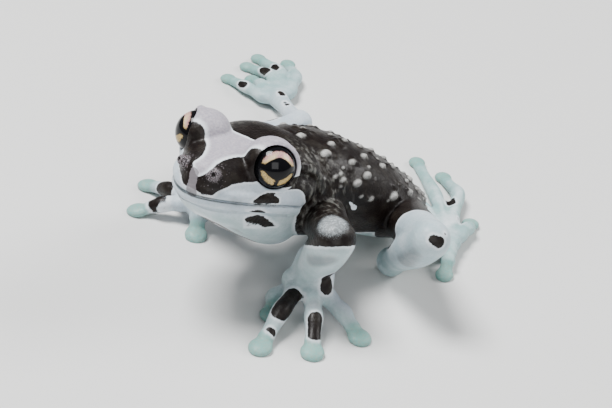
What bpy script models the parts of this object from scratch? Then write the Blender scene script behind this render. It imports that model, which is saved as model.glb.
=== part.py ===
"""Amazon milk frog, life size, sitting with its head raised and its legs spread.

Sizes are in millimetres until the last step, which scales each piece to metres.
The frog faces -Y, its left side is +X, and it rests on the plane z = 0.
The body is fused as one form, then parted into its pieces by thin cuts.
"""

import math
import random

import bmesh
import bpy
from mathutils import Euler, Matrix, Vector

MM = 0.001

# Form and finish of the meshes
GAP = 0.3
VOXEL = 0.42
SMOOTH_STEPS = 4
BODY_TRIANGLES = 8200
PIECE_SHARE = 0.8
SECTION_SIDES = 20
PATH_STEPS = 4

# Head frame: origin between the corners of the mouth, x left, y back, z up
HEAD_PLACE = Vector((0.0, -20.0, 21.5))
HEAD_PITCH = math.radians(-8.5)
HEAD_YAW = math.radians(4.4)
HEAD = Matrix.Translation(HEAD_PLACE) @ Euler((HEAD_PITCH, 0.0, HEAD_YAW)).to_matrix().to_4x4()

# Head sections: y, half width at the lips, height above and depth below the lips
HEAD_SECTIONS = (
    (-11.3, 1.0, 1.6, 0.8),
    (-10.6, 2.6, 4.2, 1.5),
    (-9.0, 4.4, 5.5, 3.0),
    (-6.5, 6.2, 6.2, 5.0),
    (-3.0, 8.2, 6.6, 6.8),
    (1.0, 9.8, 6.9, 8.9),
    (5.0, 10.4, 7.1, 10.8),
    (9.0, 10.2, 7.2, 12.6),
    (12.0, 9.4, 6.8, 13.4),
)
HEAD_SQUARENESS = 2.5
JAW_TAPER = 0.07
JAW_TAPER_SHARE = 0.35

# Mouth line in the head frame: corner of the mouth and tip of the lips
LIP_TIP = -11.5
LIP_CORNER = Vector((10.7, 5.6, -2.0))
LIP_SQUARENESS = 1.75
UPPER_LIP = 0.95
UPPER_LIP_INSET = 0.9
LOWER_LIP = 0.75
LOWER_LIP_INSET = 1.0

# Eyes in the head frame
EYE_CENTRE = Vector((7.5, -0.6, 5.4))
EYE_RADIUS = 3.65
EYE_AZIMUTH = math.radians(50.0)
EYE_RISE = math.radians(14.0)
EYE_OPENING = 3.45
LID_CENTRE = Vector((6.5, -0.1, 6.05))
LID_RADII = Vector((4.0, 4.6, 3.65))
LID_RIM = 0.55
LID_RIM_OFFSET = 0.4
OPENING_DEPTH = 6.0
OPENING_FLARE = 1.6

# Nostrils in the head frame
NOSTRIL = Vector((3.15, -10.0, 4.15))
NOSTRIL_MOUND = 0.95
NOSTRIL_HOLE = 0.42
NOSTRIL_HOLE_OFFSET = Vector((0.35, -0.75, 0.2))

# Cheek and the fold behind eye and ear, in the head frame
CHEEK = Vector((8.6, 6.4, 0.4))
CHEEK_RADII = (2.6, 4.6, 3.0)
EAR_FOLD = ((8.9, 3.4, 5.2), (10.0, 6.6, 4.6), (10.2, 9.6, 2.2), (10.2, 11.6, -1.6))
EAR_FOLD_RADIUS = 0.95

# Trunk sections: y, x of the midline, half width, top, bottom
TRUNK_SECTIONS = (
    (-13.0, 0.5, 8.6, 25.2, 10.4),
    (-8.0, 1.0, 9.8, 25.9, 8.6),
    (-3.0, 1.4, 11.0, 25.5, 7.4),
    (3.0, 2.2, 12.0, 23.4, 6.2),
    (9.0, 3.2, 12.0, 20.2, 3.8),
    (14.0, 4.0, 10.8, 16.8, 2.2),
    (18.5, 4.9, 8.3, 13.2, 1.7),
    (22.0, 5.5, 5.4, 9.8, 2.2),
    (24.2, 5.8, 2.4, 7.4, 3.8),
)
TRUNK_SQUARENESS = 2.15
TRUNK_LEVEL_DROP = 0.8

# Warts of the back: rows from the nape to the rump, with seeded jitter
WART_ROWS = 9
WARTS_IN_ROW = 6
WART_FIELD_START = 0.2
WART_FIELD_LENGTH = 0.66
WART_FIELD_SPREAD = 0.75
WART_RADIUS = 0.66
WART_SEED = 7

# Limb joints
JOINTS = {
    "left_shoulder": (9.2, -6.6, 14.4),
    "left_elbow": (17.9, -14.4, 16.6),
    "left_wrist": (12.6, -11.4, 7.6),
    "left_palm": (12.9, -12.2, 5.2),
    "right_shoulder": (-7.0, -8.0, 15.5),
    "right_elbow": (-17.5, -7.0, 14.0),
    "right_wrist": (-16.6, -3.4, 6.2),
    "right_palm": (-19.0, -4.2, 4.0),
    "left_hip": (9.5, 14.8, 7.6),
    "left_knee": (27.4, -1.2, 16.2),
    "left_heel": (14.6, 8.2, 2.5),
    "left_sole": (16.8, 22.4, 2.2),
    "right_hip": (-2.0, 16.5, 9.0),
    "right_knee": (-25.5, 5.5, 5.6),
    "right_heel": (-26.7, 32.4, 4.4),
    "right_sole": (-39.6, 41.4, 2.0),
}

ARM_JOINTS = ("shoulder", "elbow", "wrist", "palm")
LEG_JOINTS = ("hip", "knee", "heel", "sole")

# Radii along each limb: (share of the length, half width, half height)
UPPER_ARM = ((0.0, 4.0, 4.0), (0.5, 3.6, 3.5), (1.0, 3.5, 3.4))
FOREARM = ((0.0, 3.6, 3.5), (0.45, 3.9, 3.5), (1.0, 3.5, 2.7))
HAND = ((-0.6, 3.5, 2.5), (0.5, 4.2, 2.5), (1.3, 4.4, 2.1))
THIGH = ((0.0, 4.8, 4.2), (0.4, 4.1, 3.6), (0.8, 3.5, 3.2), (1.0, 3.3, 3.2))
SHANK = ((0.0, 3.3, 3.2), (0.35, 3.7, 3.4), (0.8, 2.5, 2.4), (1.0, 2.3, 2.3))
TARSUS = ((0.0, 1.9, 1.9), (0.5, 1.5, 1.5), (1.0, 2.2, 1.8))
HAND_HINT = Vector((0, -1, 0.2))
HEEL_KNOB = 2.6

# Digits: root, knuckle and tip, with the tips on the floor
FINGER_WIDTH = 1.5
FINGER_PAD = Vector((2.05, 2.15, 1.0))
TOE_WIDTH = 1.25
TOE_PAD = Vector((1.65, 1.8, 0.9))
PAD_RISE = 0.6
DIGITS = {
    "left_finger_1": ((9.5, -11.8, 2.7), (8.4, -15.2, 1.5), (10.7, -18.6)),
    "left_finger_2": ((12.0, -14.4, 4.6), (13.7, -20.2, 3.4), (15.9, -27.4)),
    "left_finger_3": ((15.2, -14.2, 4.4), (18.4, -17.6, 3.4), (22.2, -22.0)),
    "left_finger_4": ((16.0, -11.6, 4.0), (19.8, -11.8, 2.8), (24.4, -12.6)),
    "right_finger_1": ((-17.8, -5.8, 3.2), (-16.1, -7.3, 2.4), (-14.6, -9.2)),
    "right_finger_2": ((-20.6, -6.6, 3.4), (-23.2, -8.8, 2.6), (-26.7, -11.0)),
    "right_finger_3": ((-21.8, -4.4, 3.4), (-26.0, -3.8, 2.6), (-31.8, -3.0)),
    "right_finger_4": ((-21.2, -2.2, 3.2), (-24.8, 0.4, 2.4), (-28.4, 2.6)),
    "left_toe_1": ((18.6, 19.4, 2.0), (20.2, 17.2, 1.8), (21.4, 14.8)),
    "left_toe_2": ((14.6, 24.2, 2.0), (6.8, 28.6, 1.8), (-1.5, 34.5)),
    "left_toe_3": ((13.4, 26.0, 2.0), (4.2, 35.0, 1.8), (-6.8, 44.4)),
    "left_toe_4": ((13.2, 27.6, 2.0), (7.0, 38.4, 1.9), (0.0, 43.6)),
    "left_toe_5": ((16.2, 26.2, 2.0), (15.6, 29.6, 1.8), (13.8, 33.2)),
    "right_toe_1": ((-41.4, 39.6, 1.9), (-46.8, 40.4, 1.7), (-52.6, 42.0)),
    "right_toe_2": ((-41.8, 41.4, 1.9), (-45.4, 43.6, 1.7), (-49.4, 45.6)),
    "right_toe_3": ((-41.8, 43.8, 1.9), (-47.4, 48.6, 1.7), (-54.0, 49.4)),
    "right_toe_4": ((-41.0, 45.0, 1.9), (-47.2, 51.4, 1.7), (-55.2, 54.2)),
    "right_toe_5": ((-39.6, 45.2, 1.9), (-43.4, 52.0, 1.7), (-49.8, 57.2)),
}

# Webs between neighbouring toes: share of the toe that they reach, half thickness
WEB_REACH = 0.7
WEB_THICKNESS = 0.55

# Cuts between the pieces, and how far each reaches past the limb
NECK_CUT = 7.2
NECK_HALF_WIDTH = 11.6
NECK_HALF_HEIGHT = 15.0
MOUTH_HALF_WIDTH = 13.0
CUT_RADII = {
    "shoulder": 5.6, "elbow": 5.4, "wrist": 5.4, "hip": 6.6, "knee": 6.0, "heel": 5.8, "sole": 4.8,
    "finger": 2.5, "toe": 2.4,
}
FOLD_LIMIT = 21.0
FOLD_MARGIN = 1.5
NECK_CUT_DROP = 2.0
FLOOR_CUT = 200.0
SCRAP_POINTS = 12
ARM_ROOT = 0.46
WRIST_CUT = 0.8
THIGH_ROOT = 0.52
SOLE_CUT = 0.8
TOE_CUT = 0.4
FINGER_CUT = 0.8

# Colours of the finished pieces
SKIN_DARK = (0.045, 0.032, 0.026, 1.0)
SKIN_PALE = (0.50, 0.58, 0.62, 1.0)
SKIN_HEAD = (0.42, 0.42, 0.46, 1.0)
EYE_GOLD = (0.45, 0.33, 0.13, 1.0)


def smooth_rows(rows, steps):
    """Catmull-Rom rows of numbers through the given rows."""
    rows = [rows[0]] + list(rows) + [rows[-1]]
    result = []
    for index in range(1, len(rows) - 2):
        before, start, end, after = (Vector(row) for row in rows[index - 1:index + 3])
        for step in range(steps):
            t = step / steps
            result.append(0.5 * (2 * start + (end - before) * t
                                 + (2 * before - 5 * start + 4 * end - after) * t ** 2
                                 + (3 * start - before - 3 * end + after) * t ** 3))
    result.append(Vector(rows[-2]))
    return result


def superellipse(angle, exponent):
    """Point of a unit superellipse at an angle."""
    power = 2.0 / exponent
    side = math.copysign(abs(math.cos(angle)) ** power, math.cos(angle))
    rise = math.copysign(abs(math.sin(angle)) ** power, math.sin(angle))
    return side, rise


def skin_rings(bm, rings):
    """Bridge rings of points and close both ends with a point at their middle."""
    loops = [[bm.verts.new(point) for point in ring] for ring in rings]
    sides = len(rings[0])
    for lower, upper in zip(loops, loops[1:]):
        for index in range(sides):
            following = (index + 1) % sides
            bm.faces.new((lower[index], lower[following], upper[following], upper[index]))
    for loop, flip in ((loops[0], True), (loops[-1], False)):
        middle = bm.verts.new(sum((vert.co for vert in loop), Vector()) / sides)
        for index in range(sides):
            corners = (loop[index], loop[(index + 1) % sides], middle)
            bm.faces.new(corners[::-1] if flip else corners)


def loft(bm, sections, exponent, place=Matrix.Identity(4), taper=0.0):
    """Sections across y: y, x of the middle, half width, top, level line, bottom.

    The taper narrows the lower half just below the level line.
    """
    rings = []
    for y, middle, half_width, top, level, bottom in sections:
        ring = []
        for index in range(SECTION_SIDES * 2):
            side, rise = superellipse(math.tau * index / (SECTION_SIDES * 2), exponent)
            reach = (top - level) if rise > 0 else (level - bottom)
            side *= 1.0 - taper * min(1.0, max(0.0, -rise) / JAW_TAPER_SHARE)
            ring.append(place @ Vector((middle + half_width * side, y, level + reach * rise)))
        rings.append(ring)
    skin_rings(bm, rings)


def tube(bm, stations, side_hint=Vector((0, 0, 1))):
    """Tube through stations of x, y, z, half width and half height, with round ends."""
    rows = smooth_rows(stations, PATH_STEPS)
    points = [Vector(row[:3]) for row in rows]
    rings = []
    for index, row in enumerate(rows):
        ahead = points[min(index + 1, len(points) - 1)]
        behind = points[max(index - 1, 0)]
        along = (ahead - behind).normalized()
        across = along.cross(side_hint).normalized()
        upward = across.cross(along)
        frame = (points[index], along, across, upward, row[3], row[4])
        if index == 0:
            rings += [round_ring(frame, -share) for share in (0.95, 0.7, 0.4)]
        rings.append(round_ring(frame, 0.0))
        if index == len(rows) - 1:
            rings += [round_ring(frame, share) for share in (0.4, 0.7, 0.95)]
    skin_rings(bm, rings)


def round_ring(frame, share):
    """Ring of a tube, moved past its end and narrowed as on a ball."""
    centre, along, across, upward, half_width, half_height = frame
    narrowing = math.sqrt(1.0 - share ** 2)
    centre = centre + along * share * min(half_width, half_height)
    ring = []
    for index in range(SECTION_SIDES):
        angle = math.tau * index / SECTION_SIDES
        ring.append(centre + narrowing * (across * half_width * math.cos(angle)
                                          + upward * half_height * math.sin(angle)))
    return ring


def ball(bm, place, radii, detail=14):
    """Ellipsoid with its axes along those of the place matrix."""
    scaled = place @ Matrix.Diagonal((*radii, 1.0))
    bmesh.ops.create_uvsphere(bm, u_segments=detail * 2, v_segments=detail, radius=1.0, matrix=scaled)


def limb(bm, start, end, profile, hint=Vector((0, 0, 1))):
    """Straight limb between two joints with the half sizes of its profile."""
    start, end = Vector(start), Vector(end)
    tube(bm, [(*start.lerp(end, share), wide, high) for share, wide, high in profile], hint)


def joint(name):
    return Vector(JOINTS[name])


def facing(direction):
    """Rotation whose y axis points along a direction."""
    return direction.to_track_quat("Y", "Z").to_matrix().to_4x4()


def lip_point(turn, inset=0.0):
    """Point of the mouth line at -1 right corner, 0 tip, 1 left corner, in the head frame."""
    angle = abs(turn) * math.pi / 2
    side, back = superellipse(angle, LIP_SQUARENESS)
    y = LIP_CORNER.y + (LIP_TIP - LIP_CORNER.y + inset) * side
    x = math.copysign((LIP_CORNER.x - inset) * back, turn) if turn else 0.0
    z = LIP_CORNER.z * abs(turn) ** 3
    return Vector((x, y, z))


def mirrored(point, side):
    return Vector((point.x * side, point.y, point.z))


def eye_axis(side):
    """Direction in which an eye looks, in the head frame."""
    level = math.cos(EYE_RISE)
    across, ahead = math.sin(EYE_AZIMUTH) * level, math.cos(EYE_AZIMUTH) * level
    return Vector((side * across, -ahead, math.sin(EYE_RISE)))


def eye_frame(side):
    """Frame with its origin in the eyeball and z along the direction of sight."""
    turn = eye_axis(side).to_track_quat("Z", "Y").to_matrix().to_4x4()
    return HEAD @ Matrix.Translation(mirrored(EYE_CENTRE, side)) @ turn


def ring_tube(bm, centre_frame, radius, thickness, segments=40, sides=10):
    """Closed ring round the z axis of a frame."""
    loops = []
    for index in range(segments):
        turn = Matrix.Rotation(math.tau * index / segments, 4, "Z")
        loop = []
        for step in range(sides):
            angle = math.tau * step / sides
            point = Vector((radius + thickness * math.cos(angle), 0, thickness * math.sin(angle)))
            loop.append(bm.verts.new(centre_frame @ turn @ point))
        loops.append(loop)
    for index in range(segments):
        following = loops[(index + 1) % segments]
        for step in range(sides):
            after = (step + 1) % sides
            bm.faces.new((loops[index][step], following[step], following[after], loops[index][after]))


def add_head(bm):
    rows = smooth_rows(HEAD_SECTIONS, PATH_STEPS)
    sections = [(y, 0.0, wide, top, 0.0, -deep) for y, wide, top, deep in rows]
    loft(bm, sections, HEAD_SQUARENESS, HEAD, JAW_TAPER)
    turns = [index / 12 for index in range(-12, 13)]
    upper = [HEAD @ (lip_point(turn, UPPER_LIP_INSET) + Vector((0, 0, UPPER_LIP))) for turn in turns]
    lower = [HEAD @ (lip_point(turn, LOWER_LIP_INSET) - Vector((0, 0, LOWER_LIP))) for turn in turns]
    tube(bm, [(*point, UPPER_LIP, UPPER_LIP) for point in upper])
    tube(bm, [(*point, LOWER_LIP, LOWER_LIP) for point in lower])
    for side in (-1, 1):
        ball(bm, HEAD @ Matrix.Translation(mirrored(LID_CENTRE, side)), LID_RADII)
        rim_level = math.sqrt(EYE_RADIUS ** 2 - EYE_OPENING ** 2)
        rim = eye_frame(side) @ Matrix.Translation((0, 0, rim_level - 0.5 * LID_RIM_OFFSET))
        ring_tube(bm, rim, EYE_OPENING + LID_RIM_OFFSET, LID_RIM)
        ball(bm, HEAD @ Matrix.Translation(mirrored(NOSTRIL, side)), [NOSTRIL_MOUND] * 3, 8)
        ball(bm, HEAD @ Matrix.Translation(mirrored(CHEEK, side)), CHEEK_RADII)
        points = [HEAD @ mirrored(Vector(point), side) for point in EAR_FOLD]
        tube(bm, [(*point, EAR_FOLD_RADIUS, EAR_FOLD_RADIUS) for point in points])


def add_trunk(bm):
    sections = [(y, middle, wide, top, 0.5 * (top + bottom) - TRUNK_LEVEL_DROP, bottom)
                for y, middle, wide, top, bottom in smooth_rows(TRUNK_SECTIONS, PATH_STEPS)]
    loft(bm, sections, TRUNK_SQUARENESS)


def add_limbs(bm):
    for side, hint in (("left", 1), ("right", -1)):
        shoulder, elbow, wrist, palm = (joint(f"{side}_{part}") for part in ARM_JOINTS)
        hip, knee, heel, sole = (joint(f"{side}_{part}") for part in LEG_JOINTS)
        limb(bm, shoulder, elbow, UPPER_ARM)
        limb(bm, elbow, wrist, FOREARM, Vector((hint, 0, 0)))
        limb(bm, wrist, palm, HAND, HAND_HINT)
        limb(bm, hip, knee, THIGH)
        limb(bm, knee, heel, SHANK)
        limb(bm, heel, sole, TARSUS)
        ball(bm, Matrix.Translation(heel), [HEEL_KNOB] * 3)


def digit_sizes(name):
    if "finger" in name:
        return FINGER_WIDTH, FINGER_PAD
    return TOE_WIDTH, TOE_PAD


def digit_path(name):
    """Root joint, root, knuckle and tip of a digit."""
    root, knuckle, tip = DIGITS[name]
    side = name.split("_")[0]
    base = JOINTS[side + ("_palm" if "finger" in name else "_sole")]
    tip = (tip[0], tip[1], PAD_RISE)
    return [Vector(point) for point in (base, root, knuckle, tip)]


def add_digits(bm):
    for name in DIGITS:
        width, pad = digit_sizes(name)
        base, root, knuckle, tip = digit_path(name)
        along = (tip - knuckle).normalized()
        neck = tip - along * pad.y * 0.9
        tube(bm, [(*base, width * 1.2, width * 1.1),
                  (*root, width * 1.25, width * 1.05),
                  (*root.lerp(knuckle, 0.5), width * 0.95, width * 0.9),
                  (*knuckle, width * 1.08, width),
                  (*knuckle.lerp(neck, 0.6), width * 0.85, width * 0.8),
                  (*neck, width * 0.95, width * 0.7)])
        level = Vector((along.x, along.y, along.z * 0.4)).normalized()
        ball(bm, Matrix.Translation(tip) @ facing(level), pad, 10)


def back_point(share, across):
    """Point of the back's surface: share from nape to rump, across -1 to 1."""
    rows = smooth_rows(TRUNK_SECTIONS, 16)
    y, middle, wide, top, bottom = rows[round(share * (len(rows) - 1))]
    level = 0.5 * (top + bottom) - TRUNK_LEVEL_DROP
    side, rise = superellipse(math.pi / 2 * (1 - across), TRUNK_SQUARENESS)
    return Vector((middle + wide * side, y, level + (top - level) * rise))


def add_warts(bm):
    draw = random.Random(WART_SEED)
    for row in range(WART_ROWS):
        share = WART_FIELD_START + WART_FIELD_LENGTH * row / (WART_ROWS - 1)
        for column in range(WARTS_IN_ROW):
            across = 2.0 * (column + 0.5 * (row % 2)) / (WARTS_IN_ROW - 0.5) - 1.0
            across = WART_FIELD_SPREAD * across + draw.uniform(-0.07, 0.07)
            size = WART_RADIUS * draw.uniform(0.75, 1.2)
            point = back_point(share + draw.uniform(-0.03, 0.03), across)
            ball(bm, Matrix.Translation(point), (size, size * draw.uniform(1.0, 1.5), 0.8 * size), 6)


def add_webs(bm):
    """Skin between neighbouring toes of each hind foot."""
    for side in ("left", "right"):
        for number in range(1, 5):
            paths = [digit_path(f"{side}_toe_{number + step}") for step in (0, 1)]
            near = [path[0].lerp(path[1], 0.6) for path in paths]
            far = [path[1].lerp(path[2], WEB_REACH) for path in paths]
            start, end = near[0].lerp(near[1], 0.5), far[0].lerp(far[1], 0.5)
            width = 0.5 * (far[0] - far[1]).length
            if (far[0] - far[1]).length < 0.8 * (end - start).length:
                tube(bm, [(*start, 0.8, WEB_THICKNESS), (*end, width, WEB_THICKNESS)])


def to_object(bm, name):
    mesh = bpy.data.meshes.new(name)
    bm.to_mesh(mesh)
    bm.free()
    piece = bpy.data.objects.new(name, mesh)
    bpy.context.scene.collection.objects.link(piece)
    return piece


def apply_modifiers(piece):
    """Replace an object's mesh with its evaluated mesh."""
    graph = bpy.context.evaluated_depsgraph_get()
    mesh = bpy.data.meshes.new_from_object(piece.evaluated_get(graph))
    piece.modifiers.clear()
    piece.data = mesh


def thin_out(piece, share):
    """Keep a share of an object's triangles, fewest where it is flat."""
    thin = piece.modifiers.new("Thin", "DECIMATE")
    thin.ratio = share
    apply_modifiers(piece)


def body_form():
    """The whole body as one closed surface of few triangles."""
    bm = bmesh.new()
    add_head(bm)
    add_trunk(bm)
    add_limbs(bm)
    add_digits(bm)
    add_webs(bm)
    add_warts(bm)
    bmesh.ops.recalc_face_normals(bm, faces=bm.faces)
    body = to_object(bm, "body")
    remesh = body.modifiers.new("Fuse", "REMESH")
    remesh.mode = "VOXEL"
    remesh.voxel_size = VOXEL
    smooth = body.modifiers.new("Smooth", "SMOOTH")
    smooth.factor = 0.5
    smooth.iterations = SMOOTH_STEPS
    apply_modifiers(body)
    thin_out(body, BODY_TRIANGLES / (2 * len(body.data.polygons)))
    return body


def block(centre, turn, half_sizes, name):
    """Closed box with its axes along a rotation."""
    bm = bmesh.new()
    size = Matrix.Diagonal((*[2 * half for half in half_sizes], 1.0))
    bmesh.ops.create_cube(bm, size=1.0, matrix=Matrix.Translation(centre) @ turn @ size)
    return to_object(bm, name)


def disc(centre, normal, radius):
    """Thin round cutter across a limb."""
    bm = bmesh.new()
    turn = normal.to_track_quat("Z", "Y").to_matrix().to_4x4()
    place = Matrix.Translation(centre) @ turn
    bmesh.ops.create_cone(bm, cap_ends=True, segments=20, radius1=radius, radius2=radius,
                          depth=GAP, matrix=place)
    return to_object(bm, "disc")


def bend_normal(before, at, after):
    """Normal of the plane that halves a bend."""
    return ((at - before).normalized() + (after - at).normalized()).normalized()


def limb_cuts():
    cuts = []
    for side, outward in (("left", 1), ("right", -1)):
        shoulder, elbow, wrist, palm = (joint(f"{side}_{part}") for part in ARM_JOINTS)
        hip, knee, heel, sole = (joint(f"{side}_{part}") for part in LEG_JOINTS)
        arm_normal = (elbow - shoulder).normalized() + Vector((0.5 * outward, 0, 0))
        cuts.append(disc(shoulder.lerp(elbow, ARM_ROOT), arm_normal, CUT_RADII["shoulder"]))
        cuts.append(fold_cut(shoulder, elbow, wrist, CUT_RADII["elbow"]))
        cuts.append(disc(elbow.lerp(wrist, WRIST_CUT), wrist - elbow, CUT_RADII["wrist"]))
        cuts.append(disc(hip.lerp(knee, THIGH_ROOT), knee - hip, CUT_RADII["hip"]))
        cuts.append(fold_cut(hip, knee, heel, CUT_RADII["knee"]))
        cuts.append(disc(heel, bend_normal(knee, heel, sole), CUT_RADII["heel"]))
        cuts.append(disc(heel.lerp(sole, SOLE_CUT), sole - heel, CUT_RADII["sole"]))
    return cuts


def fold_cut(before, bend, after, radius):
    """Thin block between two lengths of a limb, as long as they lie against each other."""
    normal = bend_normal(before, bend, after)
    inward = ((before - bend).normalized() + (after - bend).normalized()).normalized()
    opening = (before - bend).angle(after - bend)
    length = radius + min(FOLD_LIMIT, radius / math.sin(0.5 * opening))
    turn = Matrix((inward, normal.cross(inward), normal)).transposed().to_4x4()
    centre = bend + inward * (0.5 * length - radius)
    return block(centre, turn, (0.5 * length, radius + FOLD_MARGIN, 0.5 * GAP), "fold_cut")


def digit_cuts():
    cuts = []
    for name in DIGITS:
        root, knuckle, tip = digit_path(name)[1:]
        kind = name.split("_")[1]
        place = knuckle.lerp(tip, TOE_CUT) if kind == "toe" else root.lerp(knuckle, FINGER_CUT)
        cuts.append(disc(place, tip - root, CUT_RADII[kind]))
    return cuts


def neck_cut():
    bm = bmesh.new()
    size = Matrix.Diagonal((2 * NECK_HALF_WIDTH, GAP, 2 * NECK_HALF_HEIGHT, 1.0))
    bmesh.ops.create_cube(bm, size=1.0, matrix=HEAD @ Matrix.Translation((0, NECK_CUT, -NECK_CUT_DROP)) @ size)
    return to_object(bm, "neck_cut")


def mouth_cut():
    """Thin sheet from the lips back to the neck, along the line of the mouth."""
    line = [lip_point(index / 10) for index in range(11)]
    profile = [Vector((0, LIP_TIP - 3, 0))] + line + [Vector((0, NECK_CUT, LIP_CORNER.z - 0.2))]
    bm = bmesh.new()
    rings = []
    for point in profile:
        corners = ((1, 1), (-1, 1), (-1, -1), (1, -1))
        rings.append([HEAD @ Vector((MOUTH_HALF_WIDTH * side, point.y, point.z + 0.5 * GAP * rise))
                      for side, rise in corners])
    skin_rings(bm, rings)
    bmesh.ops.recalc_face_normals(bm, faces=bm.faces)
    return to_object(bm, "mouth_cut")


def eye_cuts():
    """Sockets with their openings, and nostrils."""
    cuts = []
    rim_level = math.sqrt(EYE_RADIUS ** 2 - EYE_OPENING ** 2)
    for side in (-1, 1):
        bm = bmesh.new()
        ball(bm, eye_frame(side), [EYE_RADIUS + GAP] * 3, 8)
        cuts.append(to_object(bm, "socket"))
        bm = bmesh.new()
        place = eye_frame(side) @ Matrix.Translation((0, 0, rim_level + 0.5 * OPENING_DEPTH))
        bmesh.ops.create_cone(bm, cap_ends=True, segments=20, radius1=EYE_OPENING + GAP,
                              radius2=EYE_OPENING + OPENING_FLARE, depth=OPENING_DEPTH, matrix=place)
        cuts.append(to_object(bm, "eye_opening"))
        bm = bmesh.new()
        hole = NOSTRIL + NOSTRIL_HOLE_OFFSET
        ball(bm, HEAD @ Matrix.Translation(mirrored(hole, side)), [NOSTRIL_HOLE] * 3, 5)
        cuts.append(to_object(bm, "nostril"))
    return cuts


def subtract(body, cutters):
    """Cut closed objects out of the body and remove them."""
    group = bpy.data.collections.new("cutters")
    bpy.context.scene.collection.children.link(group)
    for cutter in cutters:
        group.objects.link(cutter)
    cut = body.modifiers.new("Cut", "BOOLEAN")
    cut.operation = "DIFFERENCE"
    cut.operand_type = "COLLECTION"
    cut.collection = group
    cut.solver = "MANIFOLD"
    apply_modifiers(body)
    for cutter in cutters:
        bpy.data.objects.remove(cutter)
    bpy.data.collections.remove(group)


def piece_seeds():
    """A point in or near the middle of each piece of the parted body."""
    seeds = {
        "head": HEAD @ Vector((0, -2.0, 6.0)),
        "lower_jaw": HEAD @ Vector((0, -2.0, -6.5)),
        "torso": Vector((2.2, 4.0, 23.0)),
    }
    for side in ("left", "right"):
        shoulder, elbow, wrist, palm = (joint(f"{side}_{part}") for part in ARM_JOINTS)
        hip, knee, heel, sole = (joint(f"{side}_{part}") for part in LEG_JOINTS)
        seeds[f"{side}_upper_arm"] = shoulder.lerp(elbow, 0.7)
        seeds[f"{side}_forearm"] = elbow.lerp(wrist, 0.5)
        seeds[f"{side}_hand"] = wrist.lerp(palm, 0.8)
        seeds[f"{side}_thigh"] = hip.lerp(knee, 0.6)
        seeds[f"{side}_shank"] = knee.lerp(heel, 0.6)
        seeds[f"{side}_tarsus"] = heel.lerp(sole, 0.45)
        seeds[f"{side}_foot"] = sole
    for name in DIGITS:
        seeds[name] = digit_path(name)[3]
    return seeds


def loose_pieces(body):
    """Closed surfaces of the parted body, the largest first."""
    bm = bmesh.new()
    bm.from_mesh(body.data)
    bmesh.ops.triangulate(bm, faces=bm.faces)
    bmesh.ops.dissolve_degenerate(bm, dist=1e-4, edges=bm.edges)
    left = set(bm.verts)
    groups = []
    while left:
        group, edge = set(), [left.pop()]
        while edge:
            vert = edge.pop()
            group.add(vert)
            for link in vert.link_edges:
                other = link.other_vert(vert)
                if other in left:
                    left.discard(other)
                    edge.append(other)
        groups.append(group)
    groups.sort(key=len, reverse=True)
    return bm, groups


def part_body(body):
    """Name the surface nearest to each seed and keep it as an object."""
    bm, groups = loose_pieces(body)
    groups = [group for group in groups if len(group) > SCRAP_POINTS]
    chosen = {}
    for name, seed in piece_seeds().items():
        reach = [min((vert.co - seed).length_squared for vert in group) for group in groups]
        chosen[name] = reach.index(min(reach))
    joined = [name for name, index in chosen.items() if list(chosen.values()).count(index) > 1]
    if joined:
        raise RuntimeError(f"not parted: {joined}")
    pieces = []
    for name, index in chosen.items():
        pieces.append(piece_from(groups[index], name))
        thin_out(pieces[-1], PIECE_SHARE)
    bm.free()
    bpy.data.objects.remove(body)
    return pieces


def piece_from(group, name):
    piece = bmesh.new()
    copies = {vert: piece.verts.new(vert.co) for vert in group}
    faces = {face for vert in group for face in vert.link_faces}
    for face in faces:
        piece.faces.new([copies[vert] for vert in face.verts])
    return to_object(piece, name)


def eyeball(side, name):
    """Ball that fills a socket but for a thin gap."""
    bm = bmesh.new()
    bmesh.ops.create_uvsphere(bm, u_segments=24, v_segments=14, radius=EYE_RADIUS)
    bm.transform(eye_frame(side))
    return to_object(bm, name)


def paint(piece):
    """Give a piece the finish of its part of the body."""
    finishes = {"eye": (EYE_GOLD, 0.05), "torso": (SKIN_DARK, 0.35), "upper_arm": (SKIN_DARK, 0.35),
                "head": (SKIN_HEAD, 0.4), "skin": (SKIN_PALE, 0.4)}
    kind = next((key for key in finishes if key in piece.name), "skin")
    colour, roughness = finishes[kind]
    name = f"{kind}_finish"
    material = bpy.data.materials.get(name)
    if material is None:
        material = bpy.data.materials.new(name)
        material.use_nodes = True
        shader = material.node_tree.nodes["Principled BSDF"]
        shader.inputs["Base Color"].default_value = colour
        shader.inputs["Roughness"].default_value = roughness
    piece.data.materials.clear()
    piece.data.materials.append(material)


def base_middle(pieces):
    """Middle of the underside of the box round all pieces."""
    points = [vert.co for piece in pieces for vert in piece.data.vertices]
    low = Vector([min(point[axis] for point in points) for axis in range(3)])
    high = Vector([max(point[axis] for point in points) for axis in range(3)])
    return Vector(((low.x + high.x) / 2, (low.y + high.y) / 2, low.z))


def main():
    for item in list(bpy.data.objects):
        bpy.data.objects.remove(item)
    body = body_form()
    floor_sizes = (FLOOR_CUT, FLOOR_CUT, 0.5 * FLOOR_CUT)
    subtract(body, [block(Vector((0, 0, -0.5 * FLOOR_CUT)), Matrix.Identity(4), floor_sizes, "floor_cut")])
    subtract(body, eye_cuts())
    subtract(body, [neck_cut(), mouth_cut()] + limb_cuts() + digit_cuts())
    pieces = part_body(body)
    pieces += [eyeball(1, "left_eye"), eyeball(-1, "right_eye")]
    place = Matrix.Scale(MM, 4) @ Matrix.Translation(-base_middle(pieces))
    for piece in pieces:
        piece.data.transform(place)
        piece.data.shade_smooth()
        paint(piece)


main()
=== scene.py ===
"""Amazon milk frog: one moist, marked skin and two golden eyes on a plain floor.

Shapes are built in millimetres in the CAD's pose and placed in metres by the left eye.
"""

import math
import random

import bmesh
import bpy
import numpy as np
from mathutils import Euler, Matrix, Vector


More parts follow.
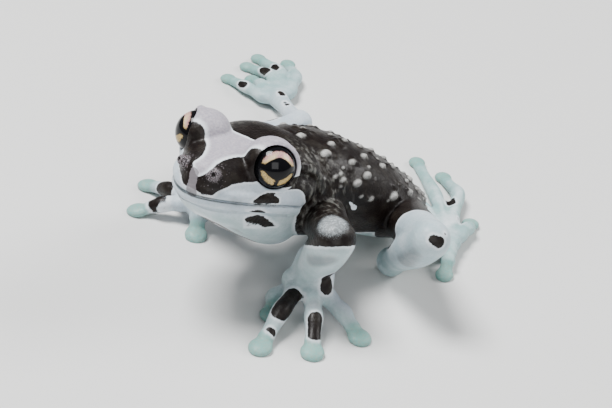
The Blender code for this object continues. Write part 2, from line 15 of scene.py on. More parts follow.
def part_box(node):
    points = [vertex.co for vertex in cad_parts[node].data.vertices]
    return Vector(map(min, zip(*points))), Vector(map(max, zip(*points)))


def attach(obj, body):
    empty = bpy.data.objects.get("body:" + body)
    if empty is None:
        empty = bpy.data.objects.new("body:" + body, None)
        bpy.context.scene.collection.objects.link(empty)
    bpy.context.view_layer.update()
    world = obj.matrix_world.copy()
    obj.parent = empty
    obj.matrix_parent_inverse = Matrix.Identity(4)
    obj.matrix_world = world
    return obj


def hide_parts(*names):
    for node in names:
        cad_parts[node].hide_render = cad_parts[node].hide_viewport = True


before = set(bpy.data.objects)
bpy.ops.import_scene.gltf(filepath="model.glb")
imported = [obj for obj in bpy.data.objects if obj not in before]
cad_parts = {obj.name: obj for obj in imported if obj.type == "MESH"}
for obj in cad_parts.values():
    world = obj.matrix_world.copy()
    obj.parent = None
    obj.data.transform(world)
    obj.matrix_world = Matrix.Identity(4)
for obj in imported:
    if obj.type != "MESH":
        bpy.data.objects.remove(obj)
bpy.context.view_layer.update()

bl_info = {
    "name": "Milk frog",
    "version": (1, 0, 0),
    "blender": (4, 5, 0),
    "location": "3D View > Sidebar > Frog",
    "description": "Builds the frog's skin, its eyes and the stage",
    "category": "Add Mesh",
}

MM = 0.001

# How finely the skin and what is cut out of it are built
SECTION_SIDES = 32
PATH_STEPS = 6
BACK_STEPS = 16
TUBE_ENDS = (0.4, 0.7, 0.95)
BALL_DETAIL = 14
FINE_BALL_DETAIL = 24
SMALL_BALL_DETAIL = 10
RIM_SEGMENTS = 64
RIM_SIDES = 12
SMOOTH_STEPS = 5
SMOOTH_SHARE = 0.5
FLOOR_CUT = (400.0, 400.0, 200.0)
LEAST_POINTS = 1000

# Head frame: origin between the corners of the mouth, x left, y back, z up
HEAD_PLACE = Vector((0.0, -20.0, 21.5))
HEAD_PITCH = math.radians(-8.5)
HEAD_YAW = math.radians(4.4)
HEAD = Matrix.Translation(HEAD_PLACE) @ Euler((HEAD_PITCH, 0.0, HEAD_YAW)).to_matrix().to_4x4()

# Head sections: y, half width at the lips, height above and depth below the lips
HEAD_SECTIONS = (
    (-11.3, 1.0, 1.6, 0.8),
    (-10.6, 2.6, 4.2, 1.5),
    (-9.0, 4.4, 5.5, 3.0),
    (-6.5, 6.2, 6.2, 5.0),
    (-3.0, 8.2, 6.6, 6.8),
    (1.0, 9.8, 6.9, 8.9),
    (5.0, 10.4, 7.1, 10.8),
    (9.0, 10.2, 7.2, 12.6),
    (12.0, 9.4, 6.8, 13.4),
)
HEAD_SQUARENESS = 2.5
JAW_TAPER = 0.07
JAW_TAPER_SHARE = 0.35

# Mouth line in the head frame: corner of the mouth and tip of the lips
LIP_TIP = -11.5
LIP_CORNER = Vector((10.7, 5.6, -2.0))
LIP_SQUARENESS = 1.75
UPPER_LIP = 0.95
UPPER_LIP_INSET = 0.9
LOWER_LIP = 0.75
LOWER_LIP_INSET = 0.85
LIP_STEPS = 16
MOUTH_STEPS = 24
MOUTH_GROOVE = 0.5
GROOVE_START = -0.9
GROOVE_END = 0.75
GROOVE_END_SHARE = 0.3
LIP_CREASE = 0.5
LIP_CREASE_INSET = 0.85
LIP_CREASE_DROP = 1.9
LIP_CREASE_TRIM = 2

# Eyes in the head frame
EYE_CENTRE = Vector((7.5, -0.6, 5.4))
EYE_RADIUS = 3.65
EYE_AZIMUTH = math.radians(50.0)
EYE_RISE = math.radians(14.0)
EYE_OPENING = 3.45
EYE_SEGMENTS = (96, 64)
BEHIND_IRIS = 9.0
RIM_LEVEL = math.sqrt(EYE_RADIUS ** 2 - EYE_OPENING ** 2)
LID_CENTRE = Vector((6.5, -0.1, 6.05))
LID_RADII = Vector((4.0, 4.6, 3.65))
LID_RIM = 0.55
LID_RIM_OFFSET = 0.4
OPENING_DEPTH = 6.0
OPENING_FLARE = 1.6
OPENING_SIDES = 48
SOCKET_GAP = 0.06

# Nostrils in the head frame
NOSTRIL = Vector((3.15, -10.0, 4.15))
NOSTRIL_MOUND = 0.95
MOUND_DETAIL = 8
NOSTRIL_HOLE = 0.42
NOSTRIL_HOLE_OFFSET = Vector((0.35, -0.75, 0.2))

# Cheek and the fold behind eye and ear, in the head frame
CHEEK = Vector((8.6, 6.4, 0.4))
CHEEK_RADII = (2.6, 4.6, 3.0)
EAR_FOLD = ((8.9, 3.4, 5.2), (10.0, 6.6, 4.6), (10.2, 9.6, 2.2), (10.2, 11.6, -1.6))
EAR_FOLD_RADIUS = 0.95

# Trunk sections: y, x of the midline, half width, top, bottom
TRUNK_SECTIONS = (
    (-13.0, 0.5, 8.6, 25.2, 10.4),
    (-8.0, 1.0, 9.8, 25.9, 8.6),
    (-3.0, 1.4, 11.0, 25.5, 7.4),
    (3.0, 2.2, 12.0, 23.4, 6.2),
    (9.0, 3.2, 12.0, 20.2, 3.8),
    (14.0, 4.0, 10.8, 16.8, 2.2),
    (18.5, 4.9, 8.3, 13.2, 1.7),
    (22.0, 5.5, 5.4, 9.8, 2.2),
    (24.2, 5.8, 2.4, 7.4, 3.8),
)
TRUNK_SQUARENESS = 2.15
TRUNK_LEVEL_DROP = 0.8

# Warts of the back: rows from the nape to the rump, with seeded jitter
WART_ROWS = 9
WARTS_IN_ROW = 6
WART_FIELD_START = 0.2
WART_FIELD_LENGTH = 0.66
WART_FIELD_SPREAD = 0.75
WART_RADIUS = 0.66
WART_RADIUS_RANGE = (0.75, 1.2)
WART_LENGTH_RANGE = (1.0, 1.5)
WART_HEIGHT = 0.8
WART_JITTER_ACROSS = 0.07
WART_JITTER_ALONG = 0.03
WART_SEED = 7
SMALL_WARTS = 260
SMALL_WART_ALONG = (0.1, 0.97)
SMALL_WART_ACROSS = 0.95
SMALL_WART_RADIUS = 0.34
SMALL_WART_RANGE = (0.7, 1.5)
SMALL_WART_SHAPE = (1.0, 1.2, 0.9)
WART_DETAIL = 3

# Limb joints
JOINTS = {
    "left_shoulder": (9.2, -6.6, 14.4),
    "left_elbow": (17.9, -14.4, 16.6),
    "left_wrist": (12.6, -11.4, 7.6),
    "left_palm": (12.9, -12.2, 5.2),
    "right_shoulder": (-7.0, -8.0, 15.5),
    "right_elbow": (-17.5, -7.0, 14.0),
    "right_wrist": (-16.6, -3.4, 6.2),
    "right_palm": (-19.0, -4.2, 4.0),
    "left_hip": (9.5, 14.8, 7.6),
    "left_knee": (27.4, -1.2, 16.2),
    "left_heel": (14.6, 8.2, 2.5),
    "left_sole": (16.8, 22.4, 2.2),
    "right_hip": (-2.0, 16.5, 9.0),
    "right_knee": (-25.5, 5.5, 5.6),
    "right_heel": (-26.7, 32.4, 4.4),
    "right_sole": (-39.6, 41.4, 2.0),
}

ARM_JOINTS = ("shoulder", "elbow", "wrist", "palm")
LEG_JOINTS = ("hip", "knee", "heel", "sole")

# Radii along each limb: (share of the length, half width, half height)
UPPER_ARM = ((0.0, 4.0, 4.0), (0.5, 3.6, 3.5), (1.0, 3.5, 3.4))
FOREARM = ((0.0, 3.6, 3.5), (0.45, 3.9, 3.5), (1.0, 3.5, 2.7))
HAND = ((-0.6, 3.5, 2.5), (0.5, 4.2, 2.5), (1.3, 4.4, 2.1))
THIGH = ((0.0, 4.8, 4.2), (0.4, 4.1, 3.6), (0.8, 3.5, 3.2), (1.0, 3.3, 3.2))
SHANK = ((0.0, 3.3, 3.2), (0.35, 3.7, 3.4), (0.8, 2.5, 2.4), (1.0, 2.3, 2.3))
TARSUS = ((0.0, 1.9, 1.9), (0.5, 1.5, 1.5), (1.0, 2.2, 1.8))
HAND_HINT = Vector((0, -1, 0.2))
HEEL_KNOB = 2.6
PALM_BALL = 2.0
PALM_BALLS = {"left": (10.2, -13.2, 5.0), "right": (-17.6, -5.8, 3.4)}

# Digits: root, knuckle and tip, with the tips on the floor
FINGER_WIDTH = 1.5
FINGER_PAD = Vector((2.05, 2.15, 1.0))
TOE_WIDTH = 1.25
TOE_PAD = Vector((1.65, 1.8, 0.9))
PAD_RISE = 0.6
PAD_LEVEL_SHARE = 0.4
PAD_DETAIL = 12
NECK_SHARE = 0.9
# Half sizes of a digit as shares of its width: joint, root, middle, knuckle, end and neck
DIGIT_PROFILE = ((1.2, 1.1), (1.25, 1.05), (0.95, 0.9), (1.08, 1.0), (0.85, 0.8), (0.95, 0.7))
DIGIT_END = 0.6
DIGITS = {
    "left_finger_1": ((9.5, -11.8, 2.7), (8.4, -15.2, 1.5), (10.7, -18.6)),
    "left_finger_2": ((12.0, -14.4, 4.6), (13.7, -20.2, 3.4), (15.9, -27.4)),
    "left_finger_3": ((15.2, -14.2, 4.4), (18.4, -17.6, 3.4), (22.2, -22.0)),
    "left_finger_4": ((16.0, -11.6, 4.0), (19.8, -11.8, 2.8), (24.4, -12.6)),
    "right_finger_1": ((-17.8, -5.8, 3.2), (-16.1, -7.3, 2.4), (-14.6, -9.2)),
    "right_finger_2": ((-20.6, -6.6, 3.4), (-23.2, -8.8, 2.6), (-26.7, -11.0)),
    "right_finger_3": ((-21.8, -4.4, 3.4), (-26.0, -3.8, 2.6), (-31.8, -3.0)),
    "right_finger_4": ((-21.2, -2.2, 3.2), (-24.8, 0.4, 2.4), (-28.4, 2.6)),
    "left_toe_1": ((18.6, 19.4, 2.0), (20.2, 17.2, 1.8), (21.4, 14.8)),
    "left_toe_2": ((14.6, 24.2, 2.0), (6.8, 28.6, 1.8), (-1.5, 34.5)),
    "left_toe_3": ((13.4, 26.0, 2.0), (4.2, 35.0, 1.8), (-6.8, 44.4)),
    "left_toe_4": ((13.2, 27.6, 2.0), (7.0, 38.4, 1.9), (0.0, 43.6)),
    "left_toe_5": ((16.2, 26.2, 2.0), (15.6, 29.6, 1.8), (13.8, 33.2)),
    "right_toe_1": ((-41.4, 39.6, 1.9), (-46.8, 40.4, 1.7), (-52.6, 42.0)),
    "right_toe_2": ((-41.8, 41.4, 1.9), (-45.4, 43.6, 1.7), (-49.4, 45.6)),
    "right_toe_3": ((-41.8, 43.8, 1.9), (-47.4, 48.6, 1.7), (-54.0, 49.4)),
    "right_toe_4": ((-41.0, 45.0, 1.9), (-47.2, 51.4, 1.7), (-55.2, 54.2)),
    "right_toe_5": ((-39.6, 45.2, 1.9), (-43.4, 52.0, 1.7), (-49.8, 57.2)),
}

# Webs between neighbouring toes: shares of the toe where they start and end, half sizes
WEB_START = 0.6
WEB_REACH = 0.7
WEB_ROOT_WIDTH = 0.8
WEB_THICKNESS = 0.55
WEB_SPREAD_LIMIT = 0.8

# Unfolded skin of the head: level of the fold, and how far what is below it moves out
UNFOLD_LEVEL = 5.0
UNFOLD_SPREAD = 0.12
UNFOLD_REACH = 0.8
OUTLINE_STEPS = 4

# Markings of the head as outlines on its unfolded skin: across and forward, in mm
HEAD_SHIELD = (
    (1.0, 12.5), (1.9, 11.7), (2.4, 10.4), (2.3, 8.7), (2.7, 6.6), (3.6, 4.0), (5.4, 3.5),
    (7.0, 3.6), (9.4, 3.4), (11.2, 1.6), (11.6, -1.4), (10.6, -3.4), (8.4, -4.1), (6.2, -4.1),
    (4.2, -3.2), (2.4, -2.5), (0.0, -2.3), (-2.4, -2.4), (-4.2, -3.2), (-6.2, -4.1), (-8.4, -4.1),
    (-10.6, -3.4), (-11.6, -1.4), (-11.2, 1.6), (-9.4, 3.6), (-7.0, 3.8), (-5.4, 3.6), (-4.1, 3.6),
    (-2.6, 5.0), (-1.2, 7.2), (-0.6, 9.0), (-1.0, 10.7), (0.1, 11.9),
)
MASK_SIDE = (
    (7.2, 8.0), (8.0, 6.6), (8.9, 5.2), (10.4, 4.6), (11.8, 3.0), (13.3, 2.2), (13.8, 0.6),
    (14.8, -1.2), (17.0, -1.6), (18.6, -1.4), (20.0, -1.6), (21.5, 0.2), (24.0, -0.6),
    (34.0, -6.0), (60.0, -8.0), (60.0, -90.0),
)
DARK_MASK = (
    (2.7, 14.5), (4.2, 14.1), (5.5, 13.3), (5.9, 12.0), (6.3, 10.9), (6.7, 9.4),
    *MASK_SIDE, *((-across, forward) for across, forward in reversed(MASK_SIDE)),
    (-6.5, 9.4), (-5.6, 10.9), (-4.4, 12.0), (-3.3, 13.0), (-2.4, 14.0), (-1.1, 14.5),
)
SNOUT_STRIPE = (
    (0.8, 11.6), (1.2, 13.0), (1.5, 14.0), (2.2, 14.8), (1.5, 15.5), (-0.6, 15.3), (-0.5, 14.2),
    (-0.9, 12.6), (-0.7, 11.4),
)
LIP_TEARDROP = ((12.6, 8.6), (12.1, 7.4), (12.0, 5.9), (12.9, 4.6), (14.0, 3.9), (15.2, 3.9), (15.6, 4.8))
LIP_DUSK = ((8.6, 12.2), (9.2, 11.2), (10.6, 10.2), (11.4, 10.0), (10.6, 11.4))
THROAT_DARK = (
    (13.2, 10.6), (14.3, 8.9), (15.4, 7.8), (18.0, 6.4), (20.4, 4.8), (19.0, 7.0), (16.0, 8.8),
    (14.2, 10.2),
)

# Where the markings end, in the head frame and in depths below the skin
HEAD_MARKS_END = 9.0
DARK_MASK_END = 12.0
STRIPE_LIMIT = 0.3
THROAT_LIMIT = Vector((0.0, 3.0, 5.4))
THROAT_FADE = (1.0, 3.0)
BELLY_FADE = (1.5, 2.0)
TRUNK_SKIN = 2.4
EYE_RIM = 0.12
EYE_RIM_BACK = -1.0
# Half width of the painted shade along the groove of the mouth
MOUTH_SHADE_WIDTH = 0.3
# Bars behind the eyes where the streaks of painted sheen lie
TEMPLE = ((9.2, 6.5, 3.0), (9.8, 10.5, -1.0))
TEMPLE_RADIUS = 5.0
WART_STRETCH = np.array((1.0, 0.62, 1.0))
PAD_MARK = 2.6
FINGER_TINT = 5.0
TOE_TINT = 22.0
KNEE_TINT = 0.55
KNEE_FADE = 0.08
OUTSIDE = -9.0

# Height of the border between dark flank and pale belly along the trunk: y, z
FLANK_BORDER = (
    (-14.0, 17.4), (-11.0, 14.4), (-7.0, 11.0), (-2.0, 9.0), (5.0, 8.5), (15.0, 5.5), (23.0, 3.5),
)

# Marks of the limbs as round bars: two ends and radius
PALE_MARK = ((11.9, -4.4, 17.3), (12.6, -2.4, 15.8), 0.42)
DARK_MARKS = (
    ((17.1, -13.3, 9.2), (16.8, -12.8, 6.4), 1.15),
    ((13.7, -17.4, 5.2), (14.5, -21.2, 4.3), 1.75),
    ((15.4, -24.9, 2.6), (16.6, -24.6, 2.2), 0.55),
    ((19.6, -18.6, 4.2), (21.0, -20.2, 3.0), 1.35),
    ((-17.6, -6.0, 9.0), (-17.6, -4.0, 8.6), 1.6),
    ((-25.6, -4.6, 2.8), (-26.8, -4.6, 2.6), 1.7),
    ((-23.0, -8.6, 2.8), (-24.0, -9.4, 2.5), 1.5),
    ((-24.2, 0.0, 2.6), (-25.2, 0.8, 2.4), 1.4),
    ((6.0, 16.0, 8.5), (18.0, 7.8, 11.6), 6.0),
    ((29.3, -4.0, 18.2), (30.0, -2.6, 17.4), 0.95),
    ((28.3, -4.2, 19.6), (28.3, -4.3, 19.6), 0.35),
    ((29.9, -1.0, 18.4), (29.9, -1.0, 18.4), 0.3),
    ((-2.0, 16.5, 9.0), (-12.0, 12.0, 7.8), 5.4),
    ((-20.5, 8.5, 9.8), (-21.5, 8.0, 9.6), 1.7),
    ((-24.6, 15.0, 8.6), (-25.2, 19.0, 8.0), 1.5),
    ((-28.2, 24.0, 7.4), (-28.4, 26.4, 7.2), 1.1),
    ((-33.0, 36.0, 5.6), (-34.4, 36.8, 5.4), 1.0),
    ((-37.1, 39.9, 4.6), (-37.9, 40.6, 4.4), 0.9),
    ((-48.0, 47.8, 2.6), (-49.0, 48.2, 2.4), 1.0),
    ((-47.6, 50.2, 2.6), (-48.6, 50.9, 2.4), 0.95),
    ((-46.6, 39.2, 2.8), (-47.6, 39.2, 2.6), 0.9),
    ((9.0, 33.2, 2.8), (8.0, 34.2, 2.8), 0.9),
    ((14.2, 29.0, 3.4), (13.6, 29.8, 3.4), 0.7),
)

# Dark bands of the upper arms: ends and radius, then the plane above which they lie
ARM_BANDS = (
    ((9.2, -6.6, 14.4), (17.9, -14.6, 17.2), 5.0, (-0.43, 0.31, 1.0), (15.8, -17.3, 15.5)),
    ((-7.0, -8.0, 15.5), (-16.5, -7.0, 14.4), 5.0, (0.5, 0.2, 1.0), (-17.5, -9.0, 13.4)),
)

# Frosted caps of the elbows, centre and radius, and grey bars, partly painted shade on the hand and limbs
ELBOW_CAPS = (((17.4, -15.2, 20.3), 3.1), ((-16.0, -8.4, 17.6), 2.6))
GREY_AND_SHADE_BARS = (
    ((17.5, -16.7, 5.6), (17.8, -16.2, 6.4), 1.5),
    ((15.7, -17.6, 12.6), (19.6, -17.0, 14.2), 1.2),
    ((11.5, -19.5, 15.0), (9.5, -22.0, 13.4), 1.6),
    ((26.5, -5.2, 13.0), (23.0, -2.0, 9.0), 2.2),
)

# Noise of the skin and of the iris: scale per mm, detail and, where it shifts an edge, height
MOTTLE = (0.35, 3.0)
GRAIN = (2.6, 4.0)
FINE = (9.0, 2.0)
# Streaks of painted sheen behind the eyes
SHEEN_STREAKS = (1.3, 5.0)
STREAK_SHAPE = (1.0, 1.0, 0.35)
# Patches of painted sheen on the back
SHEEN_CLOUDS = (0.55, 4.0)
SPECK_CELLS = 2.4
VEINS = (7.0, 5.0)
IRIS_RAGGED = (3.2, 4.0, 0.16)
EDGE_COARSE = (1.1, 2.0, 1.0)
EDGE_FINE = (5.0, 2.0, 0.6)
MASK_EDGE = (-0.07, 0.07)
BORDER_OUTSIDE = (-0.75, -0.05)
BORDER_INSIDE = (-0.05, 0.1)
PEBBLES = ((1.9, 0.5), (4.2, 0.3))
WRINKLES = (3.0, 4.0)
WRINKLE_HEIGHT = 0.35

# Soft edges of the iris from clear to full, in shares of its radius
PUPIL_EDGE = (0.95, 1.1)
PUPIL_POWER = 1.5
IRIS_EDGE = (0.90, 0.99)
INNER_EDGE = (0.50, 0.62)
LEVEL_ARM = (0.16, 0.26)
LOWER_ARM = (0.08, 0.16)

# Finish of the materials, on the shader's own sockets
SKIN_ROUGHNESS = 0.30
SKIN_FINISH = {
    "Specular IOR Level": 0.20, "Coat Weight": 0.06, "Coat Roughness": 0.12,
    "Subsurface Weight": 0.06, "Subsurface Radius": (1.0, 0.6, 0.45), "Subsurface Scale": 0.8 * MM,
}
EYE_FINISH = {
    "Roughness": 0.10, "Specular IOR Level": 0.12, "Coat Weight": 0.10, "Coat Roughness": 0.02,
}
FLOOR_FINISH = {"Roughness": 0.6}


class FrogSizes(bpy.types.PropertyGroup):
    voxel: bpy.props.FloatProperty(
        name="Skin grid", description="Size of the grid on which the skin is fused",
        default=0.3 * MM, unit="LENGTH")
    iris: bpy.props.FloatProperty(
        name="Iris radius", description="Radius of the golden iris", default=2.85 * MM, unit="LENGTH")
    pupil_width: bpy.props.FloatProperty(
        name="Pupil width", description="Half of the pupil's width as a share of the iris", default=0.84)
    pupil_height: bpy.props.FloatProperty(
        name="Pupil height", description="Half of the pupil's height as a share of the iris", default=0.64)
    grain: bpy.props.FloatProperty(
        name="Skin grain", description="Height of the fine pebbles of the skin",
        default=0.09 * MM, unit="LENGTH")
    floor: bpy.props.FloatProperty(
        name="Floor side", description="Side of the square floor", default=6.0, unit="LENGTH")


def colour(name, description, value):
    return bpy.props.FloatVectorProperty(
        name=name, description=description, default=value, size=3, subtype="COLOR", min=0.0, max=1.0)


class FrogColours(bpy.types.PropertyGroup):
    shield: colour("Head shield", "Grey-lavender patch between and over the eyes", (0.33, 0.31, 0.36))
    dark: colour("Dark skin", "Brown of the mask, the back and the spots", (0.005, 0.0025, 0.002))
    # Olive grey painted as the wet sheen on the back, laid in patches over the brown
    back: colour("Back sheen", "Olive grey that shades the brown of the back", (0.022, 0.018, 0.014))
    pale: colour("Pale skin", "Bluish white of the lips and the limbs", (0.46, 0.53, 0.60))
    # Greener white of the underside, darkened as painted shade under the jaw and on the belly
    throat: colour("Throat", "Greener white of the throat and the belly", (0.36, 0.46, 0.48))
    border: colour("Border", "White edge along the dark marks", (0.72, 0.76, 0.80))
    toes: colour("Pads", "Blue-green of the toes and the pads", (0.17, 0.36, 0.33))
    blush: colour("Blush", "Pinkish orange at the rims of the pads", (0.60, 0.30, 0.20))
    wart: colour("Warts", "Pearly white of the warts", (0.54, 0.54, 0.52))
    gold: colour("Iris", "Cream gold of the iris", (0.62, 0.46, 0.20))
    deep_gold: colour("Iris veins", "Darker gold between the veins", (0.30, 0.21, 0.08))
    light_gold: colour("Upper iris", "Cream of the upper half of the iris", (0.78, 0.62, 0.42))
    pink: colour("Iris blush", "Pink between the upper gold patches", (0.42, 0.20, 0.24))
    pupil: colour("Pupil", "Black of the pupil and the rim of the iris", (0.004, 0.004, 0.005))
    lid: colour("Shield grain", "Paler grain of the head shield", (0.43, 0.40, 0.44))
    stripe: colour("Snout stripe", "Grey of the stripe down the snout", (0.19, 0.175, 0.19))
    rim: colour("Eye rim", "Black edge of the eye's opening", (0.008, 0.007, 0.008))
    # Dark teal painted as shade in the groove of the mouth
    mouth: colour("Mouth", "Dark teal of the line of the mouth", (0.035, 0.05, 0.05))
    # Grey of the soft marks, partly painted shade on the hand and the limbs
    shade_and_mark_grey: colour("Soft marks", "Grey of the soft marks on the pale skin", (0.16, 0.17, 0.18))
    # Olive grey painted as sheen in streaks behind the eyes
    sheen: colour("Temple", "Olive grey of the streaks behind the eyes", (0.22, 0.22, 0.20))
    specks: colour("Nostril specks", "Pale specks round the nostrils", (0.36, 0.32, 0.35))
    frost: colour("Elbow frost", "Light grains on the caps of the elbows", (0.40, 0.44, 0.46))
    frost_shade: colour("Elbow shade", "Grey between those grains", (0.20, 0.22, 0.23))
    floor: colour("Floor", "Plain pale floor", (0.70, 0.70, 0.69))


def curve_point(before, start, end, after, share):
    """Catmull-Rom point at a share of the way from start to end."""
    return 0.5 * (2 * start + (end - before) * share
                  + (2 * before - 5 * start + 4 * end - after) * share ** 2
                  + (3 * start - before - 3 * end + after) * share ** 3)


def smooth_rows(rows, steps):
    """Smooth rows of numbers through the given rows."""
    rows = [Vector(row) for row in (rows[0], *rows, rows[-1])]
    result = [curve_point(*rows[index:index + 4], step / steps)
              for index in range(len(rows) - 3) for step in range(steps)]
    return result + [rows[-1]]


def rounded_outline(outline):
    """Closed smooth outline through the given corners."""
    corners = [Vector(corner) for corner in (outline[-1], *outline, *outline[:2])]
    return [tuple(curve_point(*corners[index:index + 4], step / OUTLINE_STEPS))
            for index in range(len(outline)) for step in range(OUTLINE_STEPS)]


def superellipse(angle, exponent):
    """Point of a unit superellipse at an angle."""
    power = 2.0 / exponent
    side = math.copysign(abs(math.cos(angle)) ** power, math.cos(angle))
    rise = math.copysign(abs(math.sin(angle)) ** power, math.sin(angle))
    return side, rise


def skin_rings(bm, rings):
    """Bridge rings of points and close both ends with a point at their middle."""
    loops = [[bm.verts.new(point) for point in ring] for ring in rings]
    sides = len(rings[0])
    for lower, upper in zip(loops, loops[1:]):
        for index in range(sides):
            following = (index + 1) % sides
            bm.faces.new((lower[index], lower[following], upper[following], upper[index]))
    for loop, flip in ((loops[0], True), (loops[-1], False)):
        middle = bm.verts.new(sum((vert.co for vert in loop), Vector()) / sides)
        for index in range(sides):
            corners = (loop[index], loop[(index + 1) % sides], middle)
            bm.faces.new(corners[::-1] if flip else corners)


def loft(bm, sections, exponent, place=Matrix.Identity(4), taper=0.0):
    """Sections across y: y, x of the middle, half width, top, level line, bottom.

    The taper narrows the lower half just below the level line.
    """
    rings = []
    for y, middle, half_width, top, level, bottom in sections:
        ring = []
        for index in range(SECTION_SIDES * 2):
            side, rise = superellipse(math.tau * index / (SECTION_SIDES * 2), exponent)
            reach = (top - level) if rise > 0 else (level - bottom)
            side *= 1.0 - taper * min(1.0, max(0.0, -rise) / JAW_TAPER_SHARE)
            ring.append(place @ Vector((middle + half_width * side, y, level + reach * rise)))
        rings.append(ring)
    skin_rings(bm, rings)


def tube(bm, stations, side_hint=Vector((0, 0, 1))):
    """Tube through stations of x, y, z, half width and half height, with round ends."""
    rows = smooth_rows(stations, PATH_STEPS)
    points = [Vector(row[:3]) for row in rows]
    rings = []
    for index, row in enumerate(rows):
        ahead = points[min(index + 1, len(points) - 1)]
        behind = points[max(index - 1, 0)]
        along = (ahead - behind).normalized()
        across = along.cross(side_hint).normalized()
        upward = across.cross(along)
        station = (points[index], along, across, upward, row[3], row[4])
        if index == 0:
            rings += [round_ring(station, -share) for share in reversed(TUBE_ENDS)]
        rings.append(round_ring(station, 0.0))
        if index == len(rows) - 1:
            rings += [round_ring(station, share) for share in TUBE_ENDS]
    skin_rings(bm, rings)


def round_ring(station, share):
    """Ring of a tube, moved past its end and narrowed as on a ball."""
    centre, along, across, upward, half_width, half_height = station
    narrowing = math.sqrt(1.0 - share ** 2)
    centre = centre + along * share * min(half_width, half_height)
    ring = []
    for index in range(SECTION_SIDES):
        angle = math.tau * index / SECTION_SIDES
        ring.append(centre + narrowing * (across * half_width * math.cos(angle)
                                          + upward * half_height * math.sin(angle)))
    return ring


def ball(bm, place, radii, detail=BALL_DETAIL):
    """Ellipsoid with its axes along those of the place matrix."""
    scaled = place @ Matrix.Diagonal((*radii, 1.0))
    bmesh.ops.create_uvsphere(bm, u_segments=detail * 2, v_segments=detail, radius=1.0, matrix=scaled)


def even_tube(bm, points, radius):
    """Round tube through points."""
    tube(bm, [(*point, radius, radius) for point in points])


def limb(bm, start, end, profile, hint=Vector((0, 0, 1))):
    """Straight limb between two joints with the half sizes of its profile."""
    start, end = Vector(start), Vector(end)
    tube(bm, [(*start.lerp(end, share), wide, high) for share, wide, high in profile], hint)


def joint(name):
    return Vector(JOINTS[name])


def facing(direction):
    """Rotation whose y axis points along a direction."""
    return direction.to_track_quat("Y", "Z").to_matrix().to_4x4()


def lip_point(turn, inset=0.0):
    """Point of the mouth line at -1 right corner, 0 tip, 1 left corner, in the head frame."""
    side, back = superellipse(abs(turn) * math.pi / 2, LIP_SQUARENESS)
    y = LIP_CORNER.y + (LIP_TIP - LIP_CORNER.y + inset) * side
    x = math.copysign((LIP_CORNER.x - inset) * back, turn) if turn else 0.0
    return Vector((x, y, LIP_CORNER.z * abs(turn) ** 3))


def lip_line(steps, inset=0.0, drop=0.0, trim=0):
    """Points along the lips from right to left, moved inwards and down."""
    return [HEAD @ (lip_point(index / steps, inset) - Vector((0, 0, drop)))
            for index in range(trim - steps, steps - trim + 1)]


def mirrored(point, side):
    return Vector((point[0] * side, point[1], point[2]))


def head_place(point, side):
    """Place of a point of the head frame, on one side."""
    return HEAD @ Matrix.Translation(mirrored(point, side))


def eye_axis(side):
    """Direction in which an eye looks, in the head frame."""
    level = math.cos(EYE_RISE)
    across, ahead = math.sin(EYE_AZIMUTH) * level, math.cos(EYE_AZIMUTH) * level
    return Vector((side * across, -ahead, math.sin(EYE_RISE)))


def eye_frame(side):
    """Frame with its origin in the eyeball, z along the direction of sight and y up."""
    sight = eye_axis(side)
    across = Vector((0, 0, 1)).cross(sight).normalized()
    turn = Matrix((across, sight.cross(across), sight)).transposed().to_4x4()
    return head_place(EYE_CENTRE, side) @ turn


def ring_tube(bm, centre_frame, radius, thickness):
    """Closed ring round the z axis of a frame."""
    loops = []
    for index in range(RIM_SEGMENTS):
        turned = centre_frame @ Matrix.Rotation(math.tau * index / RIM_SEGMENTS, 4, "Z")
        loop = []
        for step in range(RIM_SIDES):
            angle = math.tau * step / RIM_SIDES
            point = Vector((radius + thickness * math.cos(angle), 0, thickness * math.sin(angle)))
            loop.append(bm.verts.new(turned @ point))
        loops.append(loop)
    for index in range(RIM_SEGMENTS):
        here, following = loops[index], loops[(index + 1) % RIM_SEGMENTS]
        for step in range(RIM_SIDES):
            after = (step + 1) % RIM_SIDES
            bm.faces.new((here[step], following[step], following[after], here[after]))


def add_head(bm):
    rows = smooth_rows(HEAD_SECTIONS, PATH_STEPS)
    loft(bm, [(y, 0.0, wide, top, 0.0, -deep) for y, wide, top, deep in rows],
         HEAD_SQUARENESS, HEAD, JAW_TAPER)
    even_tube(bm, lip_line(LIP_STEPS, UPPER_LIP_INSET, -UPPER_LIP), UPPER_LIP)
    even_tube(bm, lip_line(LIP_STEPS, LOWER_LIP_INSET, LOWER_LIP), LOWER_LIP)
    for side in (-1, 1):
        ball(bm, head_place(LID_CENTRE, side), LID_RADII)
        rim = eye_frame(side) @ Matrix.Translation((0, 0, RIM_LEVEL - 0.5 * LID_RIM_OFFSET))
        ring_tube(bm, rim, EYE_OPENING + LID_RIM_OFFSET, LID_RIM)
        ball(bm, head_place(NOSTRIL, side), [NOSTRIL_MOUND] * 3, MOUND_DETAIL)
        ball(bm, head_place(CHEEK, side), CHEEK_RADII)
        even_tube(bm, [HEAD @ mirrored(point, side) for point in EAR_FOLD], EAR_FOLD_RADIUS)


def add_trunk(bm):
    sections = [(y, middle, wide, top, 0.5 * (top + bottom) - TRUNK_LEVEL_DROP, bottom)
                for y, middle, wide, top, bottom in smooth_rows(TRUNK_SECTIONS, PATH_STEPS)]
    loft(bm, sections, TRUNK_SQUARENESS)


